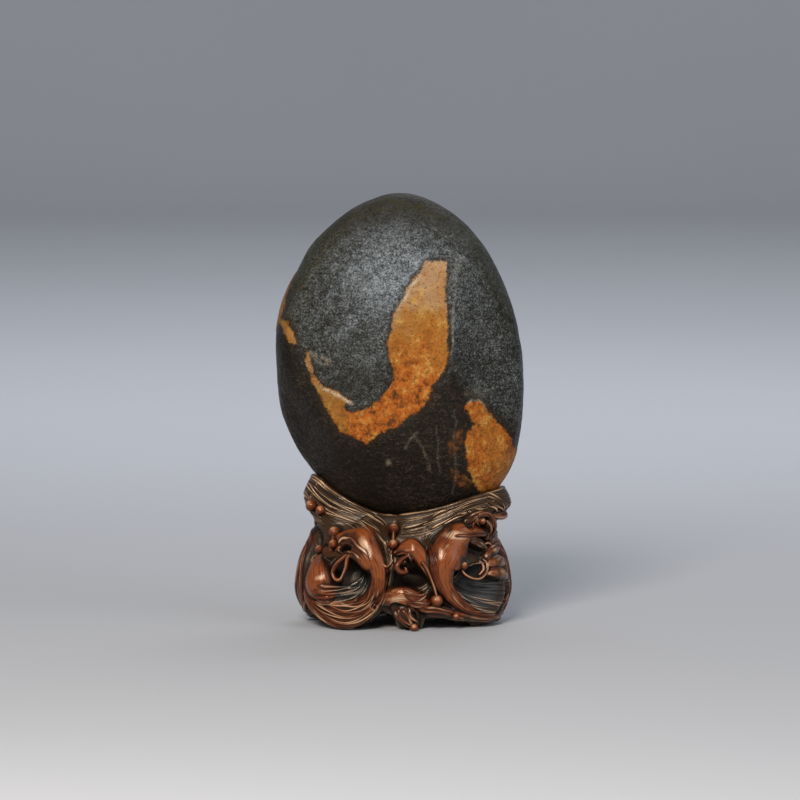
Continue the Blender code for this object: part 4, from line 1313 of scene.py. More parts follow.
class Carving:
    """The relief of the stand's side, drawn on a flat sheet that is rolled round the stand.

    The sheet's first axis is distance round the stand and its second is height. Its layers are
    how far the wood stands out, how warm or cool it is, how dark with painted shade, how lit on its
    crowns by painted highlight with some buffing, how rubbed pale by wear and painted highlights,
    and how the grain flows.
    """

    GROUND = -2.5  # how far out the bare ground is
    STEP = 0.4  # a cell's size
    LOWEST = -3.0  # the sheet's lowest and highest rows
    HIGHEST = 96.0
    RIBBON_STEPS = 24  # points of a ribbon's line between two of its rows
    PAST_EDGE = 1.3  # how far past its edge a form is still worked out, as a share of its width
    CROWN_POWER = 2.4
    FULL_CROWN = 3.5  # a crown this high gets the full painted highlight and buffing
    DARK_EDGE = (0.66, 0.34)  # where a ribbon's edge painted as shade begins, and over what share
    # How dark a ribbon's edge is painted as shade.
    EDGE_DARK = 0.85
    BOWL_EDGE = 1.2
    BOWL_ROUNDS = 8
    STRAND_STEPS = 90
    STRAND_REACH = 4.0
    LONE_PITCH = 2.3  # the room of a strand that is alone
    BED_DEPTH = 0.4
    # How dark the beds between strands are painted as shade.
    BED_DARK = 0.95
    POCKET = (0.9, 1.6)  # how far a drop's pocket reaches past the drop, and how deep it is
    RING = (0.3, 1.3, 0.9)  # where the pocket's painted shadow ring is, how wide, and how dark

    def __init__(self, length: float, lip_at: Array) -> None:
        """Draws the whole relief.

        Args:
            length: the distance all round the stand.
            lip_at: height of the collar's lip at even distances round it.
        """
        self.length = length
        columns = round(length / self.STEP)
        rows = round((self.HIGHEST - self.LOWEST) / self.STEP) + 1
        self.step = length / columns
        self.distance, self.height = np.meshgrid(
            np.arange(columns) * self.step, self.LOWEST + np.arange(rows) * self.STEP, indexing="ij"
        )
        self.lip_at = lip_at
        zero = np.zeros_like(self.distance)
        self.out = zero + self.GROUND
        self.warm, self.cool, self.dark, self.polish_and_highlight = (zero.copy() for _ in range(4))
        self.rubbed = zero.copy()
        self.strands: list[Array] = []
        self.flow_across, self.flow_along = self.height.copy(), self.distance.copy()
        for half in Half:
            for ribbon in RIBBONS_UNDER:
                self.lay_ribbon(ribbon, half)
            for bowl in BOWLS:
                self.cut_bowl(bowl, half)
            for ribbon in RIBBONS_OVER:
                if ribbon.on_back or half is Half.FRONT:
                    self.lay_ribbon(ribbon, half)
            for bowl in RECESSES:
                self.cut_bowl(bowl, half)
            for ridges in RIDGES:
                self.comb(ridges, half)
            for drop in DROPS:
                self.sink_pocket(drop, half)
            for spot in RUBBED_AND_HIGHLIGHTS:
                self.rub(spot, half)

    def local(self, half: Half) -> Array:
        """Distances round the stand as one half of the carving sees them."""
        shifted = self.distance - half.value * self.length / 2 + self.length / 2
        return shifted % self.length - self.length / 2

    def lip_height(self, distance: Array) -> Array:
        """Height of the collar's lip at distances round the stand."""
        return ring_lookup(self.lip_at, distance / self.length * len(self.lip_at))

    def near_line(self, line: Array, along: Array, reach: float) -> tuple[Array, ...]:
        """Finds the sheet's cells near a line, and how they lie to it.

        Args:
            line: closely spaced points of the line, with any further values in later columns.
            along: distances round the stand, as local gives them.
            reach: how far from the line to look.

        Returns:
            (the cells, their distance from the line, signed to the right of it, distance along
            it, the line's values beside them).
        """
        cells = (along > line[:, 0].min() - reach) & (along < line[:, 0].max() + reach)
        cells &= (self.height > line[:, 1].min() - reach) & (self.height < line[:, 1].max() + reach)
        here = np.stack([along[cells], self.height[cells]], axis=1)
        ahead = np.gradient(line, axis=0)
        gap_x = here[:, :1] - line[None, :, 0]
        gap_y = here[:, 1:] - line[None, :, 1]
        best = np.argmin(gap_x ** 2 + gap_y ** 2, axis=1)
        pick = np.arange(len(here))
        gap_x, gap_y = gap_x[pick, best], gap_y[pick, best]
        run = np.hypot(ahead[best, 0], ahead[best, 1])
        past = (gap_x * ahead[best, 0] + gap_y * ahead[best, 1]) / run ** 2
        side = (gap_x * ahead[best, 1] - gap_y * ahead[best, 0]) / run
        extra = np.where((best == 0) | (best == len(line) - 1), np.abs(past) * run, 0.0)
        share = np.clip(past, -0.5, 0.5)
        values = line[best] + ahead[best] * share[:, None]
        travelled = np.concatenate([[0.0], np.cumsum(np.hypot(*np.diff(line[:, :2], axis=0).T))])
        far = np.hypot(side, extra)
        return cells, far, side, travelled[best] + past * run, values

    def lay_ribbon(self, ribbon: Ribbon, half: Half) -> None:
        """Lays one ribbon of water over the relief.

        Args:
            ribbon: the ribbon.
            half: the half of the stand that it is on.
        """
        rows = np.asarray(ribbon.rows, float)
        line = spline(rows, np.linspace(0, 1, self.RIBBON_STEPS * (len(rows) - 1) + 1))
        reach = line[:, 2].max() + ribbon.edge + 2
        LOG.debug("ribbon %s on the %s", ribbon.name, half.name)
        cells, far, side, along, values = self.near_line(line, self.local(half), reach)
        width, height, tilt, crown = values[:, 2:6].T
        off = np.clip(far / width, 0, self.PAST_EDGE)
        form = height + tilt * np.sign(side) * off - crown * off ** self.CROWN_POWER
        share = soft_step((1 - off) * width / ribbon.edge + 0.5)
        self.out[cells] += (form - self.out[cells]) * share
        self.warm[cells] += (ribbon.warm - self.warm[cells]) * share
        self.cool[cells] *= 1 - share
        # Painted shade towards the ribbon's edge.
        edge = self.EDGE_DARK * ramp(off, *self.DARK_EDGE) * min(1.0, ribbon.warm * 1.5)
        self.dark[cells] += (edge - self.dark[cells]) * share
        # Painted highlight, with some buffing, on the ribbon's crown.
        shine = np.clip(1 - off, 0, 1) * np.clip(crown / self.FULL_CROWN, 0, 1)
        self.polish_and_highlight[cells] += (shine - self.polish_and_highlight[cells]) * share
        over = share > 0.5
        for layer, value in ((self.flow_across, side), (self.flow_along, along)):
            layer[cells] = np.where(over, value, layer[cells])

    def cut_bowl(self, bowl: Bowl, half: Half) -> None:
        """Cuts one hollow into the relief.

        Args:
            bowl: the hollow.
            half: the half of the stand that it is on.
        """
        LOG.debug("hollow %s on the %s", bowl.name, half.name)
        along = self.local(half)
        rho = np.ones_like(along)
        for _ in range(self.BOWL_ROUNDS):
            x = (along - bowl.centre[0] - bowl.shift[0] * (1 - rho)) / bowl.half[0]
            y = (self.height - bowl.centre[1] - bowl.shift[1] * (1 - rho)) / bowl.half[1]
            rho = np.clip(0.5 * rho + 0.5 * np.hypot(x, y), 0, self.PAST_EDGE)
        form = bowl.rim + (bowl.deepest - bowl.rim) * np.clip(1 - rho ** 2, 0, 1) ** bowl.power
        share = soft_step((1 - rho) * min(bowl.half) / self.BOWL_EDGE + 0.3)
        self.out += (form - self.out) * share
        self.warm *= 1 - share
        self.polish_and_highlight *= 1 - share
        self.cool += (1 - self.cool) * share * soft_step((1 - rho) * 4)
        # Painted shade, darkest in the hollow's middle.
        self.dark += (bowl.dark * soft_step((1 - rho) * 2.5) - self.dark) * share
        self.flow_across = np.where(share > 0.5, rho * min(bowl.half), self.flow_across)
        self.flow_along = np.where(share > 0.5, np.arctan2(y, x) * 10, self.flow_along)

    def comb(self, ridges: Ridges, half: Half) -> None:
        """Sinks a bed for one family of strands, and keeps the strands' courses.

        A strand's rows are distance, height, half width, rise and how rubbed it is.

        Args:
            ridges: the family.
            half: the half of the stand that it is on.
        """
        steps = np.linspace(0, 1, self.STRAND_STEPS)
        first = spline(ridges.first, steps)
        last = spline(ridges.last or ridges.first, steps)
        gaps = max(ridges.count - 1, 1)
        pitch = np.full(self.STRAND_STEPS, self.LONE_PITCH)
        if ridges.last:
            pitch = np.hypot(*(last - first).T) / gaps
        fade = soft_step(np.minimum(steps / 0.14, (1 - steps) / 0.22))
        bed = np.zeros_like(self.out)
        start = half.value * self.length / 2
        for k in range(ridges.count):
            # No two strands are alike, as cut by eye. The name's length shifts the pattern.
            uneven = 1.0 + 0.22 * math.sin(2.1 * k + len(ridges.name))
            wander = 0.30 * np.sin(steps * (5 + 1.7 * k) + 2.4 * k) / max(gaps, 4)
            share = np.clip(k / gaps + wander * (ridges.count > 1), 0, 1)[:, None]
            line = first + (last - first) * share
            if ridges.below_lip:
                line[:, 1] = self.lip_height(line[:, 0] + start) - line[:, 1]
            half_width = np.clip(pitch * 0.55 * uneven, 0.4, 1.5) * (0.25 + 0.75 * fade)
            rise = ridges.height * uneven * np.clip(pitch / 2.0, 0.45, 1.15) * fade
            rubbed = 1.15 * ridges.rubbed * fade * (0.75 + 0.25 * np.sin(steps * 9 + 1.3 * k))
            row = np.column_stack([line, half_width, rise, rubbed])
            cells, far, _, _, values = self.near_line(row, self.local(half), self.STRAND_REACH)
            cover = np.exp(-(far / (values[:, 2] * 1.7 + 0.2)) ** 2) * np.clip(values[:, 3], 0, 1)
            bed[cells] = np.maximum(bed[cells], cover)
            row[:, 0] += start
            self.strands.append(row)
        self.out -= self.BED_DEPTH * bed
        # The beds are painted dark as shade between the strands.
        self.dark = np.maximum(self.dark, np.clip(bed * 1.2, 0, self.BED_DARK))

    def sink_pocket(self, drop: tuple[float, ...], half: Half) -> None:
        """Sinks a pocket round a drop of spray, with a painted shadow ring round it.

        Args:
            drop: the drop's row.
            half: the half of the stand that it is on.
        """
        distance, height, _, radius = drop
        far = np.hypot(self.local(half) - distance, self.height - height)
        margin, depth = self.POCKET
        self.out -= depth * np.exp(-(far / (radius + margin)) ** 4)
        gap, width, dark = self.RING
        ring = np.exp(-((far - radius - gap) / width) ** 2)
        self.dark = np.maximum(self.dark, ring * dark)

    def rub(self, spot: tuple[float, ...], half: Half) -> None:
        """Rubs one place pale, as wear and as painted highlight.

        Args:
            spot: the place's row.
            half: the half of the stand that it is on.
        """
        distance, height, long, wide, lean, strength = spot
        c, s = math.cos(math.radians(lean)), math.sin(math.radians(lean))
        x, y = self.local(half) - distance, self.height - height
        along, across = (x * c + y * s) / long, (y * c - x * s) / wide
        self.rubbed = np.maximum(self.rubbed, strength * np.exp(-along ** 2 - across ** 2))


# ---- the stand ----
@dataclass
class Stand:
    """The carved block: its side, the collar's lip, the seat, the underside and the hollow.

    A place on its side is a distance round it, from the front's middle to the right, and a height,
    or a level from 0 at the lower edge to 1 at the lip.
    """

    shift: tuple[float, float] = (2.0, 0.0)
    half_width: float = 60.0
    half_depth: float = 42.0
    fullness: float = 2.4
    # How wide the stand is at each height, as a share of the oval.
    profile: Rows = ((0, 0.95), (20, 1.03), (38, 0.98), (50, 0.86))
    waist: float = 50.0
    seat_centre: tuple[float, float] = (4.0, 0.0)
    lip_thickness: float = 2.6
    seat_gap: float = 0.5
    # Plan angle from the front towards the right, lip height, and how far the collar swells out.
    lip: Rows = (
        (-90, 90.0, 8.5), (-78, 88.5, 8.0), (-72, 78.5, 6.5), (-60, 71.5, 5.0), (-48, 68.0, 4.0),
        (-24, 67.5, 3.0), (0, 68.5, 3.0), (24, 70.5, 3.5), (42, 73.5, 4.5), (60, 79.0, 6.5),
        (78, 82.5, 8.0), (92, 82.5, 9.0), (120, 78.0, 6.5), (150, 72.0, 3.5), (180, 70.0, 3.0),
        (212, 74.0, 4.5), (240, 82.0, 6.5), (256, 88.0, 8.0),
    )
    # How high the lower edge is off the floor, at each distance round the oval.
    feet: Rows = (
        (-83.4, 4.0), (-70, 6.0), (-58, 2.0), (-50, -1.5), (-29, -1.5), (-21, 4.0), (-14, 10.5),
        (-7, 8.0), (-2, -1.5), (11, -1.5), (15, 6.0), (26, 6.5), (34, 4.0), (44, 3.0), (52, -1.5),
        (71, -1.5), (80, 3.0), (83.4, 4.0),
    )
    core: tuple[float, float, float] = (31.0, 20.0, 47.0)  # half width, half depth, height
    core_rim: float = 7.0
    swell_power: float = 1.7  # how low the collar's swell sits
    corner_blur: float = 7.0  # the rounding below the collar, in stations
    corner_fade: tuple[float, float] = (70.0, 10.0)  # none above this height, whole this far below
    face_blur: float = 6.0
    lip_fade: float = 0.08  # the carving dies away over this share below the lip
    proud: float = 0.2
    toe: tuple[float, float, float] = (3.0, 4.0, 70.0)  # undercut of the lower edge, reach, side
    spread_rounds: int = 60
    seat_levels: int = 12
    core_levels: int = 10
    under_shares: tuple[float, ...] = (0.35, 0.7, 0.88)  # rows from the hollow's rim to the edge
    strand_step: float = 1.25
    thread_steps: int = 56
    drop_rise: float = 1.2
    leaf_rise: float = 0.55  # a leaf of spray is this much flatter than a thread
    leaf_rubbed: float = 0.9
    base_stations: int = 720
    base_levels: int = 180
    stations: int = 560
    levels: int = 138
    tree: BVHTree | None = None

    def __post_init__(self) -> None:
        """Works out the plan oval and its length."""
        power = 2 / self.fullness
        angles = np.linspace(0, TAU, 2881)
        s, c = np.sin(angles), np.cos(angles)
        x = self.half_width * np.sign(s) * np.abs(s) ** power
        y = -self.half_depth * np.sign(c) * np.abs(c) ** power
        lengths = np.concatenate([[0.0], np.cumsum(np.hypot(np.diff(x), np.diff(y)))])
        self.length = lengths[-1]
        even = np.linspace(0, self.length, self.base_stations + 1)[:-1]
        self.oval = np.stack([np.interp(even, lengths, x), np.interp(even, lengths, y)], axis=1)
        self.even = even

    def lip_row(self, angle: float) -> tuple[float, float]:
        """The collar's lip in one direction.

        Args:
            angle: plan angle in degrees, from the front towards the right.

        Returns:
            (lip height, swell).
        """
        rows = np.array([self.lip[-1], *self.lip, self.lip[0], self.lip[1]], float)
        rows[0, 0] -= 360
        rows[-2:, 0] += 360
        angle = (angle + 90) % 360 - 90
        i = int(np.searchsorted(rows[:, 0], angle, side="right")) - 1
        i = min(max(i, 1), len(rows) - 3)
        share = (angle - rows[i, 0]) / (rows[i + 1, 0] - rows[i, 0])
        height, swell = spline(rows[i - 1:i + 3, 1:], (1 + share) / 3)[0]
        return float(height), float(swell)

    def reach(self, start: Vector, towards: Vector) -> float:
        """Distance from a point to the stone's skin."""
        hit = self.tree.ray_cast(start * MM, towards)[0]
        return (hit / MM - start).length if hit else 0.0

    def lay_out(self) -> None:
        """Works out the side before it is carved, and which way it looks out."""
        centre = Vector((*self.seat_centre, 0.0))
        plan = self.oval + np.array(self.shift)
        self.towards = unit(plan - np.array(self.seat_centre))
        lip = [self.lip_row(math.degrees(math.atan2(t[0], -t[1]))) for t in self.towards]
        self.lip_at, swell = np.array(lip).T
        lip_reach = np.array([
            self.reach(centre + Vector((0, 0, z)), Vector((*t, 0.0)))
            for z, t in zip(self.lip_at, self.towards)
        ]) + self.lip_thickness
        half = self.length / 4
        local = (self.even + 2 * half) % (4 * half) - 2 * half
        local = np.where(np.abs(local) > half, (local + 4 * half) % (4 * half) - 2 * half, local)
        self.low_at = np.interp(local, *np.array(self.feet).T)
        level = np.linspace(0, 1, self.base_levels)[None, :]
        height = self.low_at[:, None] + (self.lip_at - self.low_at)[:, None] * level
        width = np.interp(np.minimum(height, self.waist), *np.array(self.profile).T)
        flat = self.oval[:, None, :] * width[..., None] + np.array(self.shift)
        share = np.clip((height - self.waist) / (self.lip_at[:, None] - self.waist), 0, 1)
        radius = np.linalg.norm(flat - np.array(self.seat_centre), axis=2)
        radius += (lip_reach[:, None] - radius) * soft_step(share)
        radius += swell[:, None] * np.sin(math.pi * share ** self.swell_power)
        upper = self.towards[:, None, :] * radius[..., None] + np.array(self.seat_centre)
        flat = np.where((height > self.waist)[..., None], upper, flat)
        top, fade = self.corner_fade
        rounded = soft_step((top - height) / fade)[..., None]
        flat += (blur(flat, self.corner_blur) - flat) * rounded
        self.base = np.concatenate([flat, height[..., None]], axis=2)
        along = np.roll(self.base, -1, axis=0) - np.roll(self.base, 1, axis=0)
        self.face = unit(blur(np.cross(along, np.gradient(self.base, axis=1)), self.face_blur))

    def on_base(self, distance: Array, level: Array) -> tuple[Array, Array]:
        """Finds places on the uncarved side.

        Args:
            distance: distances round the stand.
            level: levels.

        Returns:
            (points, the way the side looks out there).
        """
        across = distance / self.length * self.base_stations
        up = level * (self.base_levels - 1)
        return lookup(self.base, across, up), unit(lookup(self.face, across, up))

    def level_of(self, distance: Array, height: Array) -> Array:
        """Turns heights to levels.

        Args:
            distance: distances round the stand.
            height: heights there.

        Returns:
            The levels.
        """
        at = distance / self.length * self.base_stations
        low, lip = ring_lookup(self.low_at, at), ring_lookup(self.lip_at, at)
        return (height - low) / (lip - low)

    def on_sheet(self, layer: Array, distance: Array, height: Array) -> Array:
        """Values of one of the carving's layers at distances and heights."""
        up = (height - Carving.LOWEST) / Carving.STEP
        return lookup(layer, distance / self.carving.step, up)

    def carved(self, distance: Array, level: Array) -> Array:
        """Points of the carved side.

        Args:
            distance: distances round the stand.
            level: levels.

        Returns:
            The points.
        """
        point, face = self.on_base(distance, level)
        out = self.on_sheet(self.carving.out, distance, point[..., 2])
        out = out * soft_step((1 - level) / self.lip_fade) + self.proud
        undercut, reach, side = self.toe
        out = out - undercut * (1 - np.clip(level * side / reach, 0, 1)) ** 2
        return point + face * out[..., None]

    def carved_face(self, distance: Array, level: Array) -> Array:
        """The way the carved side looks out.

        Args:
            distance: distances round the stand.
            level: levels.

        Returns:
            One direction for each place.
        """
        step, lift = 0.7, 0.01
        along = self.carved(distance + step, level) - self.carved(distance - step, level)
        low, high = np.clip(level - lift, 0, 1), np.clip(level + lift, 0, 1)
        return unit(np.cross(along, self.carved(distance, high) - self.carved(distance, low)))

    def spread(self) -> tuple[Array, Array]:
        """Places the side's grid, closer together where the carving is steep.

        Returns:
            (distances, levels) of the grid's points.
        """
        columns, rows = self.stations // 2, self.levels // 2
        start = np.arange(columns)[:, None] * self.length / columns + np.zeros((1, rows))
        level = np.linspace(0, 1, rows)[None, :] + np.zeros((columns, 1))
        slide = np.zeros_like(start)
        for _ in range(self.spread_rounds):
            p = self.carved(start + slide, level)
            pulls, gains = 0.0, 0.0
            for axis, turn in ((0, 1), (0, -1), (1, 1), (1, -1)):
                gap = np.linalg.norm(np.roll(p, turn, axis=axis) - p, axis=2) + 0.05
                there = np.stack([np.roll(v, turn, axis=axis) for v in (slide, level)])
                there[0] -= self.length / columns * turn * (axis == 0)
                pulls, gains = pulls + there * gap, gains + gap
            goal = pulls / gains
            slide[:, 1:-1] += 0.5 * (goal[0] - slide)[:, 1:-1]
            level[:, 1:-1] += 0.5 * (goal[1] - level)[:, 1:-1]
        across, up = np.meshgrid(
            np.arange(self.stations) / 2, np.linspace(0, rows - 1, self.levels), indexing="ij"
        )
        even = np.arange(self.stations)[:, None] * self.length / self.stations
        return even + lookup(slide, across, up), lookup(level, across, up)

    def seat_rows(self) -> list[Array]:
        """The lip's rounded top, and the seat that follows the stone.

        Returns:
            The rows, from the lip to the seat's middle.
        """
        foot = self.foot
        pick = np.arange(self.stations) * self.base_stations / self.stations
        towards = unit(ring_lookup(self.towards, pick))
        lip = ring_lookup(self.lip_at, pick)
        rows = []
        tops = [(0.3, 1.9), (0.4, 1.3), (0.2, 0.8)]  # height over the lip, gap to the stone
        spans = [(1 - k / self.seat_levels) ** 1.6 for k in range(1, self.seat_levels + 1)]
        for k in range(len(tops) + len(spans)):
            row = []
            for t, z in zip(towards, lip):
                if k < len(tops):
                    height, gap = z + tops[k][0], tops[k][1]
                    look = z
                else:
                    height = foot.z + (z - 0.3 - foot.z) * spans[k - len(tops)]
                    look, gap = height, self.seat_gap
                middle = foot.lerp(Vector((*self.seat_centre, 0)), min(1.0, (look - foot.z) / 8.0))
                start = Vector((middle.x, middle.y, look + 0.02))
                towards_stone = Vector((*t, 0.0))
                row.append(start + towards_stone * (self.reach(start, towards_stone) + gap))
                row[-1].z = height
            rows.append(np.array(row))
        rows.append(np.tile(np.array(foot) - (0, 0, 0.6), (self.stations, 1)))
        return rows

    def under_rows(self, edge: Array) -> list[Array]:
        """The hollow under the seat and the underside, from the hollow's top to the lower edge.

        Args:
            edge: the side's lowest points.

        Returns:
            The rows.
        """
        turn = np.arctan2(edge[:, 1] - self.shift[1], edge[:, 0] - self.shift[0])
        ring = np.stack([np.cos(turn) * self.core[0], np.sin(turn) * self.core[1]], axis=1)
        rows = []
        for k in range(self.core_levels):
            lean = math.pi / 2 * k / (self.core_levels - 1)
            share = (1 - math.cos(lean) ** 3) ** (1 / 3)
            height = self.core_rim + (self.core[2] - self.core_rim) * math.cos(lean)
            flat = ring * share + np.array(self.shift)
            rows.append(np.column_stack([flat, np.full(len(flat), height)]))
        rim = rows[-1]
        rows += [rim * (1 - share) + edge * share for share in self.under_shares]
        return rows

    def build(self, stone: Object, finish: CarvedHardwood) -> list[Object]:
        """Models the stand and shows it.

        Args:
            stone: the stone that the seat is cut to.
            finish: the wood's finish.

        Returns:
            The pieces.
        """
        self.tree = BVHTree.FromPolygons(
            [v.co for v in stone.data.vertices], [p.vertices for p in stone.data.polygons]
        )
        self.foot = min((v.co for v in stone.data.vertices), key=lambda co: co.z) / MM
        self.lay_out()
        self.carving = Carving(self.length, self.lip_at)
        LOG.info("carving drawn")
        distance, level = self.spread()
        side = self.carved(distance, level)
        LOG.info("side spread")
        rows = self.under_rows(side[:, 0]) + [side[:, j] for j in range(self.levels)]
        under = len(rows) - self.levels
        rows += self.seat_rows()
        points = np.stack(rows, axis=1)
        points[..., 2] = np.maximum(points[..., 2], 0.0)
        fields = self.wear_and_painted_light(points, under, distance, level)
        material = finish.material()
        mesh = closed_sheet(points, fields)
        pieces = [show_piece("stand_block", mesh, material, "stand")]
        pieces += [self.strands(material), self.spray(material)]
        return pieces

    def wear_and_painted_light(self, points: Array, under: int, distance: Array, level: Array) -> Fields:
        """The values that the wood's finish reads.

        Args:
            points: the whole sheet's points.
            under: how many of its rows come before the side.
            distance: distances of the side's points.
            level: their levels.

        Returns:
            The fields by name.
        """
        along = np.roll(points, -1, axis=0) - np.roll(points, 1, axis=0)
        face = unit(np.cross(along, np.gradient(points, axis=1)))
        # How far each point stands out from the wood close by, and from the wood round about.
        near = ((points - blur(points, 1.2)) * face).sum(axis=2)
        wide = ((points - blur(points, 5.0)) * face).sum(axis=2)
        height = self.on_base(distance, level)[0][..., 2]
        fields = {}
        for name in ("warm", "cool", "dark", "polish_and_highlight", "rubbed", "flow_across", "flow_along"):
            values = np.zeros(points.shape[:2])
            layer = getattr(self.carving, name)
            values[:, under:under + self.levels] = self.on_sheet(layer, distance, height)
            fields[name] = values
        dark, polish_and_highlight, rubbed = (fields.pop(name) for name in ("dark", "polish_and_highlight", "rubbed"))
        # Painted shade in dark and hollow: recesses, ribbon edges, beds, pockets and concave wood.
        # Painted highlight in high and worn: buffed crowns and rubbed places, beside real wear on
        # sharp crests.
        dark = dark * (1 - 0.8 * rubbed)
        worn = np.clip(near * 1.9 - 0.05 + 0.3 * polish_and_highlight, 0, 0.9) * (1 - dark)
        fields["worn"] = np.maximum(worn, rubbed * 1.05)
        fields["high"] = np.clip(0.25 + wide * 0.2 + 0.75 * polish_and_highlight, 0, 1.2)
        fields["hollow"] = np.clip(dark + np.clip(-wide * 0.45 - near * 2.5 - 0.1, 0, 1), 0, 1)
        return fields

    def strands(self, material: Material) -> Object:
        """Models the fine strands of the water, each one rooted in its bed.

        Args:
            material: the wood.

        Returns:
            The piece.
        """
        sprays = Spray()
        for row in self.carving.strands:
            length = np.hypot(*np.diff(row[:, :2], axis=0).T).sum()
            t = np.linspace(0, 1, max(12, round(length / self.strand_step)))
            distance, height, half, rise, rubbed = spline(row, t).T
            level = np.clip(self.level_of(distance, height), 0.004, 0.998)
            centre, face = self.carved(distance, level), self.carved_face(distance, level)
            tint = np.stack([
                self.on_sheet(layer, distance, height)
                for layer in (self.carving.warm, self.carving.cool)
            ], axis=1)
            kept = centre[:, 2] > 0.5
            if kept.sum() > 5:
                sprays.add_strand(*(v[kept] for v in (centre, face, half, rise, rubbed, tint)))
        return sprays.show("stand_strands", material)

    def spray(self, material: Material) -> Object:
        """Models the drops, hooks and threads of spray, on the front and on the back.

        Args:
            material: the wood.

        Returns:
            The piece.
        """
        sprays = Spray()
        ends = np.sqrt(np.clip(1 - np.linspace(-1, 1, self.thread_steps) ** 10, 0, 1))
        for half in Half:
            start = half.value * self.length / 2
            for distance, height, above, radius in DROPS:
                place = np.array([start + distance]), np.array([height])
                out = float(self.on_sheet(self.carving.out, *place)[0]) + above + self.drop_rise
                point, face = self.on_base(place[0], self.level_of(*place))
                sprays.add_drop(point[0] + face[0] * out, face[0], radius)
            for rows in THREADS + ((LEAF_TIP,) if half is Half.FRONT else ()):
                leaf = rows is LEAF_TIP
                line = spline(rows, np.linspace(0, 1, self.thread_steps))
                line[:, 0] += start
                centre, face = self.on_base(line[:, 0], self.level_of(line[:, 0], line[:, 1]))
                centre = centre + face * line[:, 2:3]
                radius = line[:, 3] * ends
                rise = radius * (self.leaf_rise if leaf else 1.0)
                # A thin thread is rubbed more than a thick one.
                rubbed = 0.35 + 0.65 * np.clip(1.6 / np.maximum(line[:, 3], 0.4) - 0.5, 0, 1)
                rubbed = np.maximum(rubbed, self.leaf_rubbed if leaf else 0.0)
                tint = np.tile((0.9, 0.0), (len(line), 1))
                sprays.add_strand(centre, face, radius, rise, rubbed, tint)
        return sprays.show("stand_spray", material)


class Spray:
    """Strands, threads and drops that are joined into one piece."""

    # A strand's section: across, up, and how rubbed it is there.
    SECTION = np.array([
        (-1.0, -0.55, 0.0), (-0.84, 0.22, 0.12), (-0.48, 0.76, 0.62), (0.0, 1.05, 1.0),
        (0.48, 0.76, 0.62), (0.84, 0.22, 0.12), (1.0, -0.55, 0.0), (0.0, -1.1, 0.0),
        (-1.0, -0.55, 0.0),
    ])
    LOWEST = 0.05  # no point is nearer to the floor
    DROP_DENT = (3.0, 0.12)  # size and height of a drop's unevenness
    DROP_PAINTED_LIGHT = (0.8, 0.6)  # how much a drop's painted highlight looks out, and up

    def __init__(self) -> None:
        """Starts an empty piece."""
        self.bm = bmesh.new()
        self.layers = {name: self.bm.verts.layers.float.new(name) for name in WOOD_FIELDS}

    def add_strand(
        self, centre: Array, face: Array, half: Array, rise: Array,
        rubbed: Array, tint: Array,
    ) -> None:
        """Adds a strand that runs to a point at each end.

        Args:
            centre: points along it.
            face: the way its crest looks, at each point.
            half: its half width at each point.
            rise: how far it stands up at each point.
            rubbed: how rubbed its crest is at each point.
            tint: how warm and how cool it is at each point.
        """
        along = unit(np.gradient(centre, axis=0))
        across = unit(np.cross(along, face))
        up = np.cross(across, along)
        ends = np.ones(len(centre))
        ends[[0, -1]] = 0.0
        side, lift, crest = self.SECTION.T
        ring = side[None, :, None] * (across * (half * ends)[:, None])[:, None]
        ring = ring + lift[None, :, None] * (up * (rise * ends)[:, None])[:, None]
        points = centre[:, None] + ring
        points[..., 2] = np.maximum(points[..., 2], self.LOWEST)
        run = np.linalg.norm(np.diff(centre, axis=0), axis=1)
        travelled = np.concatenate([[0.0], np.cumsum(run)])
        flat = np.zeros((len(centre), len(side)))
        # Painted shade on the underside and painted light on the top, beside the crest's wear.
        values = {
            "worn": rubbed[:, None] * crest, "hollow": flat + np.clip(0.5 - lift * 0.7, 0, 1),
            "high": flat + np.clip(0.3 + lift * 0.35, 0, 1), "warm": flat + tint[:, :1],
            "cool": flat + tint[:, 1:], "flow_across": flat + side * half[:, None],
            "flow_along": flat + travelled[:, None],
        }
        steps, turns = len(centre) - 1, len(side) - 1
        made = bmesh.ops.create_grid(self.bm, x_segments=steps, y_segments=turns, size=0.5)["verts"]
        for vert in made:
            i, j = round((vert.co.x + 0.5) * steps), round((vert.co.y + 0.5) * turns)
            vert.co = points[i, j]
            for name, layer in self.layers.items():
                vert[layer] = values[name][i, j]
        bmesh.ops.remove_doubles(self.bm, verts=made, dist=STRAND_WELD)

    def add_drop(self, centre: Array, face: Array, radius: float) -> None:
        """Adds a drop with a painted highlight where it looks out and up, and painted shade below.

        Args:
            centre: its middle.
            face: the way the side looks there.
            radius: its radius.
        """
        made = bmesh.ops.create_icosphere(self.bm, subdivisions=3, radius=radius)["verts"]
        start = Vector(centre)
        looks_out, looks_up = self.DROP_PAINTED_LIGHT
        crest = (Vector(face) * looks_out + Vector((0, 0, looks_up))).normalized()
        size, height = self.DROP_DENT
        for vert in made:
            lit = vert.co.normalized().dot(crest)
            vert.co = vert.co * (1 + height * noise.noise(vert.co / size + start)) + start
            vert.co.z = max(vert.co.z, self.LOWEST)
            vert[self.layers["warm"]] = 1.0
            # Painted highlight on the side towards the light, painted shade on the side away.
            vert[self.layers["high"]] = 0.30 + 0.6 * lit
            vert[self.layers["worn"]] = 0.86 * max(0.0, lit) ** 2.5
            vert[self.layers["hollow"]] = max(0.0, 0.12 - 0.9 * lit)

    def show(self, name: str, material: Material) -> Object:
        """Finishes the piece and shows it.

        Args:
            name: the piece's name.
            material: its finish.

        Returns:
            The piece.
        """
        bmesh.ops.recalc_face_normals(self.bm, faces=self.bm.faces[:])
        return show_piece(name, new_mesh(name, self.bm), material, "stand")


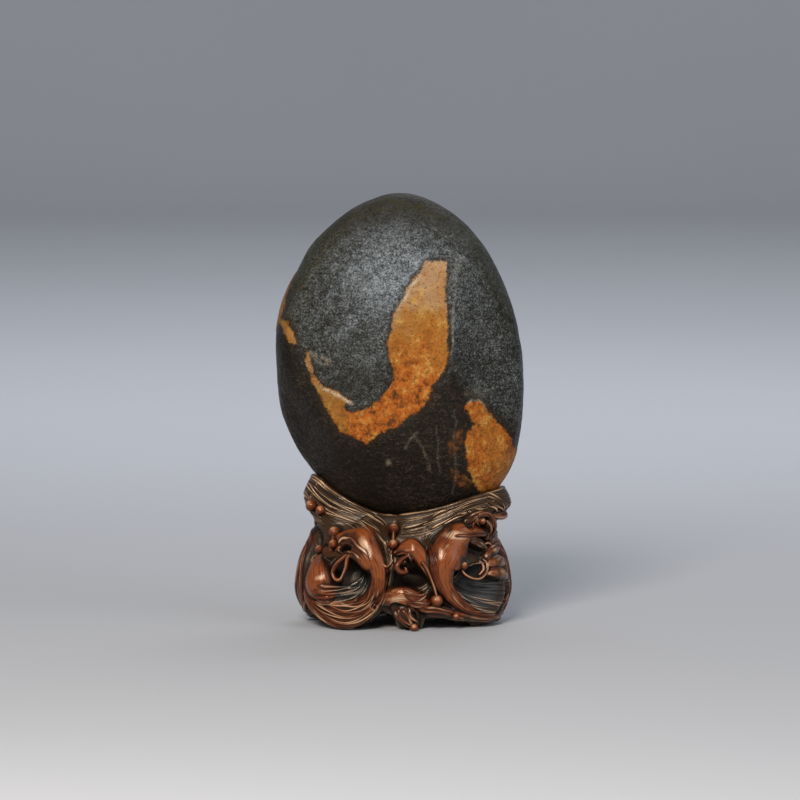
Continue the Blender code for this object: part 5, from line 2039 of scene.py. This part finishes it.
# ---- the studio ----
@dataclass(frozen=True)
class Lamp:
    """A soft square light: place, side and target in metres, and power in watts."""

    name: str
    place: tuple[float, float, float]
    size: float
    power: float
    tint: str
    target: tuple[float, float, float] = (0.0, 0.0, 0.13)

    def build(self) -> None:
        """Adds the light, which the camera doesn't see."""
        data = bpy.data.lights.new(self.name, "AREA")
        data.size = self.size
        data.energy = self.power
        data.color = linear(self.tint)[:3]
        lamp = bpy.data.objects.new(self.name, data)
        lamp.visible_camera = False
        lamp.location = self.place
        look = Vector(self.target) - Vector(self.place)
        lamp.rotation_euler = look.to_track_quat("-Z", "Y").to_euler()
        bpy.context.scene.collection.objects.link(lamp)


@dataclass
class Studio:
    """A pale seamless floor that turns up all round, soft lights, and the camera in front.

    Its sizes are in metres. The lens is long, so that there is little perspective.
    """

    lamps: tuple[Lamp, ...] = (
        Lamp("key", (-0.35, -1.55, 1.05), 0.6, 29.0, "fff8f0"),
        Lamp("fill", (1.3, -0.9, 0.7), 1.1, 6.0, "eaf1ff"),
        Lamp("rim", (0.4, 1.2, 1.3), 0.9, 3.0, "f4f6ff"),
        Lamp("backdrop", (0.0, 1.4, 2.3), 2.0, 50.0, "f2f5ff", (0.0, 4.2, 0.0)),
    )
    floor_radius: float = 4.6
    turn_radius: float = 1.2
    turn_steps: int = 12
    wall: float = 0.9
    distance: float = 3.6
    frame_width: float = 0.48584
    look_at: float = 0.1305
    shift_y: float = 8.5 / 800
    sensor: float = 36.0  # mm
    world: str = "e9edf2"
    world_strength: float = 0.24

    def build(self) -> None:
        """Builds the floor, the lights and the camera."""
        self.floor()
        for lamp in self.lamps:
            lamp.build()
        world = bpy.data.worlds.new("studio")
        world.use_nodes = True
        background = world.node_tree.nodes["Background"]
        background.inputs["Color"].default_value = linear(self.world)
        background.inputs["Strength"].default_value = self.world_strength
        bpy.context.scene.world = world
        bpy.context.scene.view_settings.view_transform = "Standard"
        self.camera()

    def floor(self) -> None:
        """Builds the floor as one turned sheet that ends in a low wall, behind every light."""
        profile = [(0.0, 0.0), (0.6, 0.0), (1.4, 0.0), (self.floor_radius, 0.0)]
        for k in range(1, self.turn_steps + 1):
            lean = math.pi / 2 * k / self.turn_steps
            profile.append((
                self.floor_radius + self.turn_radius * math.sin(lean),
                self.turn_radius * (1 - math.cos(lean)),
            ))
        profile.append((self.floor_radius + self.turn_radius, self.turn_radius + self.wall))
        bm = bmesh.new()
        verts = [bm.verts.new((x, 0, z)) for x, z in profile]
        edges = [bm.edges.new(pair) for pair in zip(verts, verts[1:])]
        bmesh.ops.spin(
            bm, geom=verts + edges, cent=(0, 0, 0), axis=(0, 0, 1), angle=TAU, steps=96,
            use_merge=True,
        )
        bmesh.ops.remove_doubles(bm, verts=bm.verts[:], dist=1e-6)
        bmesh.ops.recalc_face_normals(bm, faces=bm.faces[:])
        if sum(face.normal.z for face in bm.faces) < 0:
            bmesh.ops.reverse_faces(bm, faces=bm.faces[:])
        mesh = bpy.data.meshes.new("studio_floor")
        bm.to_mesh(mesh)
        bm.free()
        mesh.shade_smooth()
        mesh.materials.append(StudioPaper().material())
        floor = bpy.data.objects.new("studio_floor", mesh)
        bpy.context.scene.collection.objects.link(floor)

    def camera(self) -> None:
        """Adds the camera, a little above the object and straight in front of it."""
        data = bpy.data.cameras.new("camera")
        data.sensor_width = self.sensor
        data.lens = self.sensor * self.distance / self.frame_width
        data.shift_y = self.shift_y
        camera = bpy.data.objects.new("camera", data)
        target = Vector((0, 0, self.look_at))
        back = Vector((0, -math.cos(VIEW_TILT), math.sin(VIEW_TILT)))
        camera.location = target + back * self.distance
        camera.rotation_euler = (-back).to_track_quat("-Z", "Y").to_euler()
        bpy.context.scene.collection.objects.link(camera)
        bpy.context.scene.camera = camera


def main() -> None:
    """Builds every piece in order, and reports each one."""
    logging.basicConfig(level=logging.INFO, format="%(name)s %(message)s")
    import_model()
    Studio().build()
    stone = Stone().build(RiverStone())
    Stand().build(stone, CarvedHardwood())


if __name__ == "__main__":
    main()
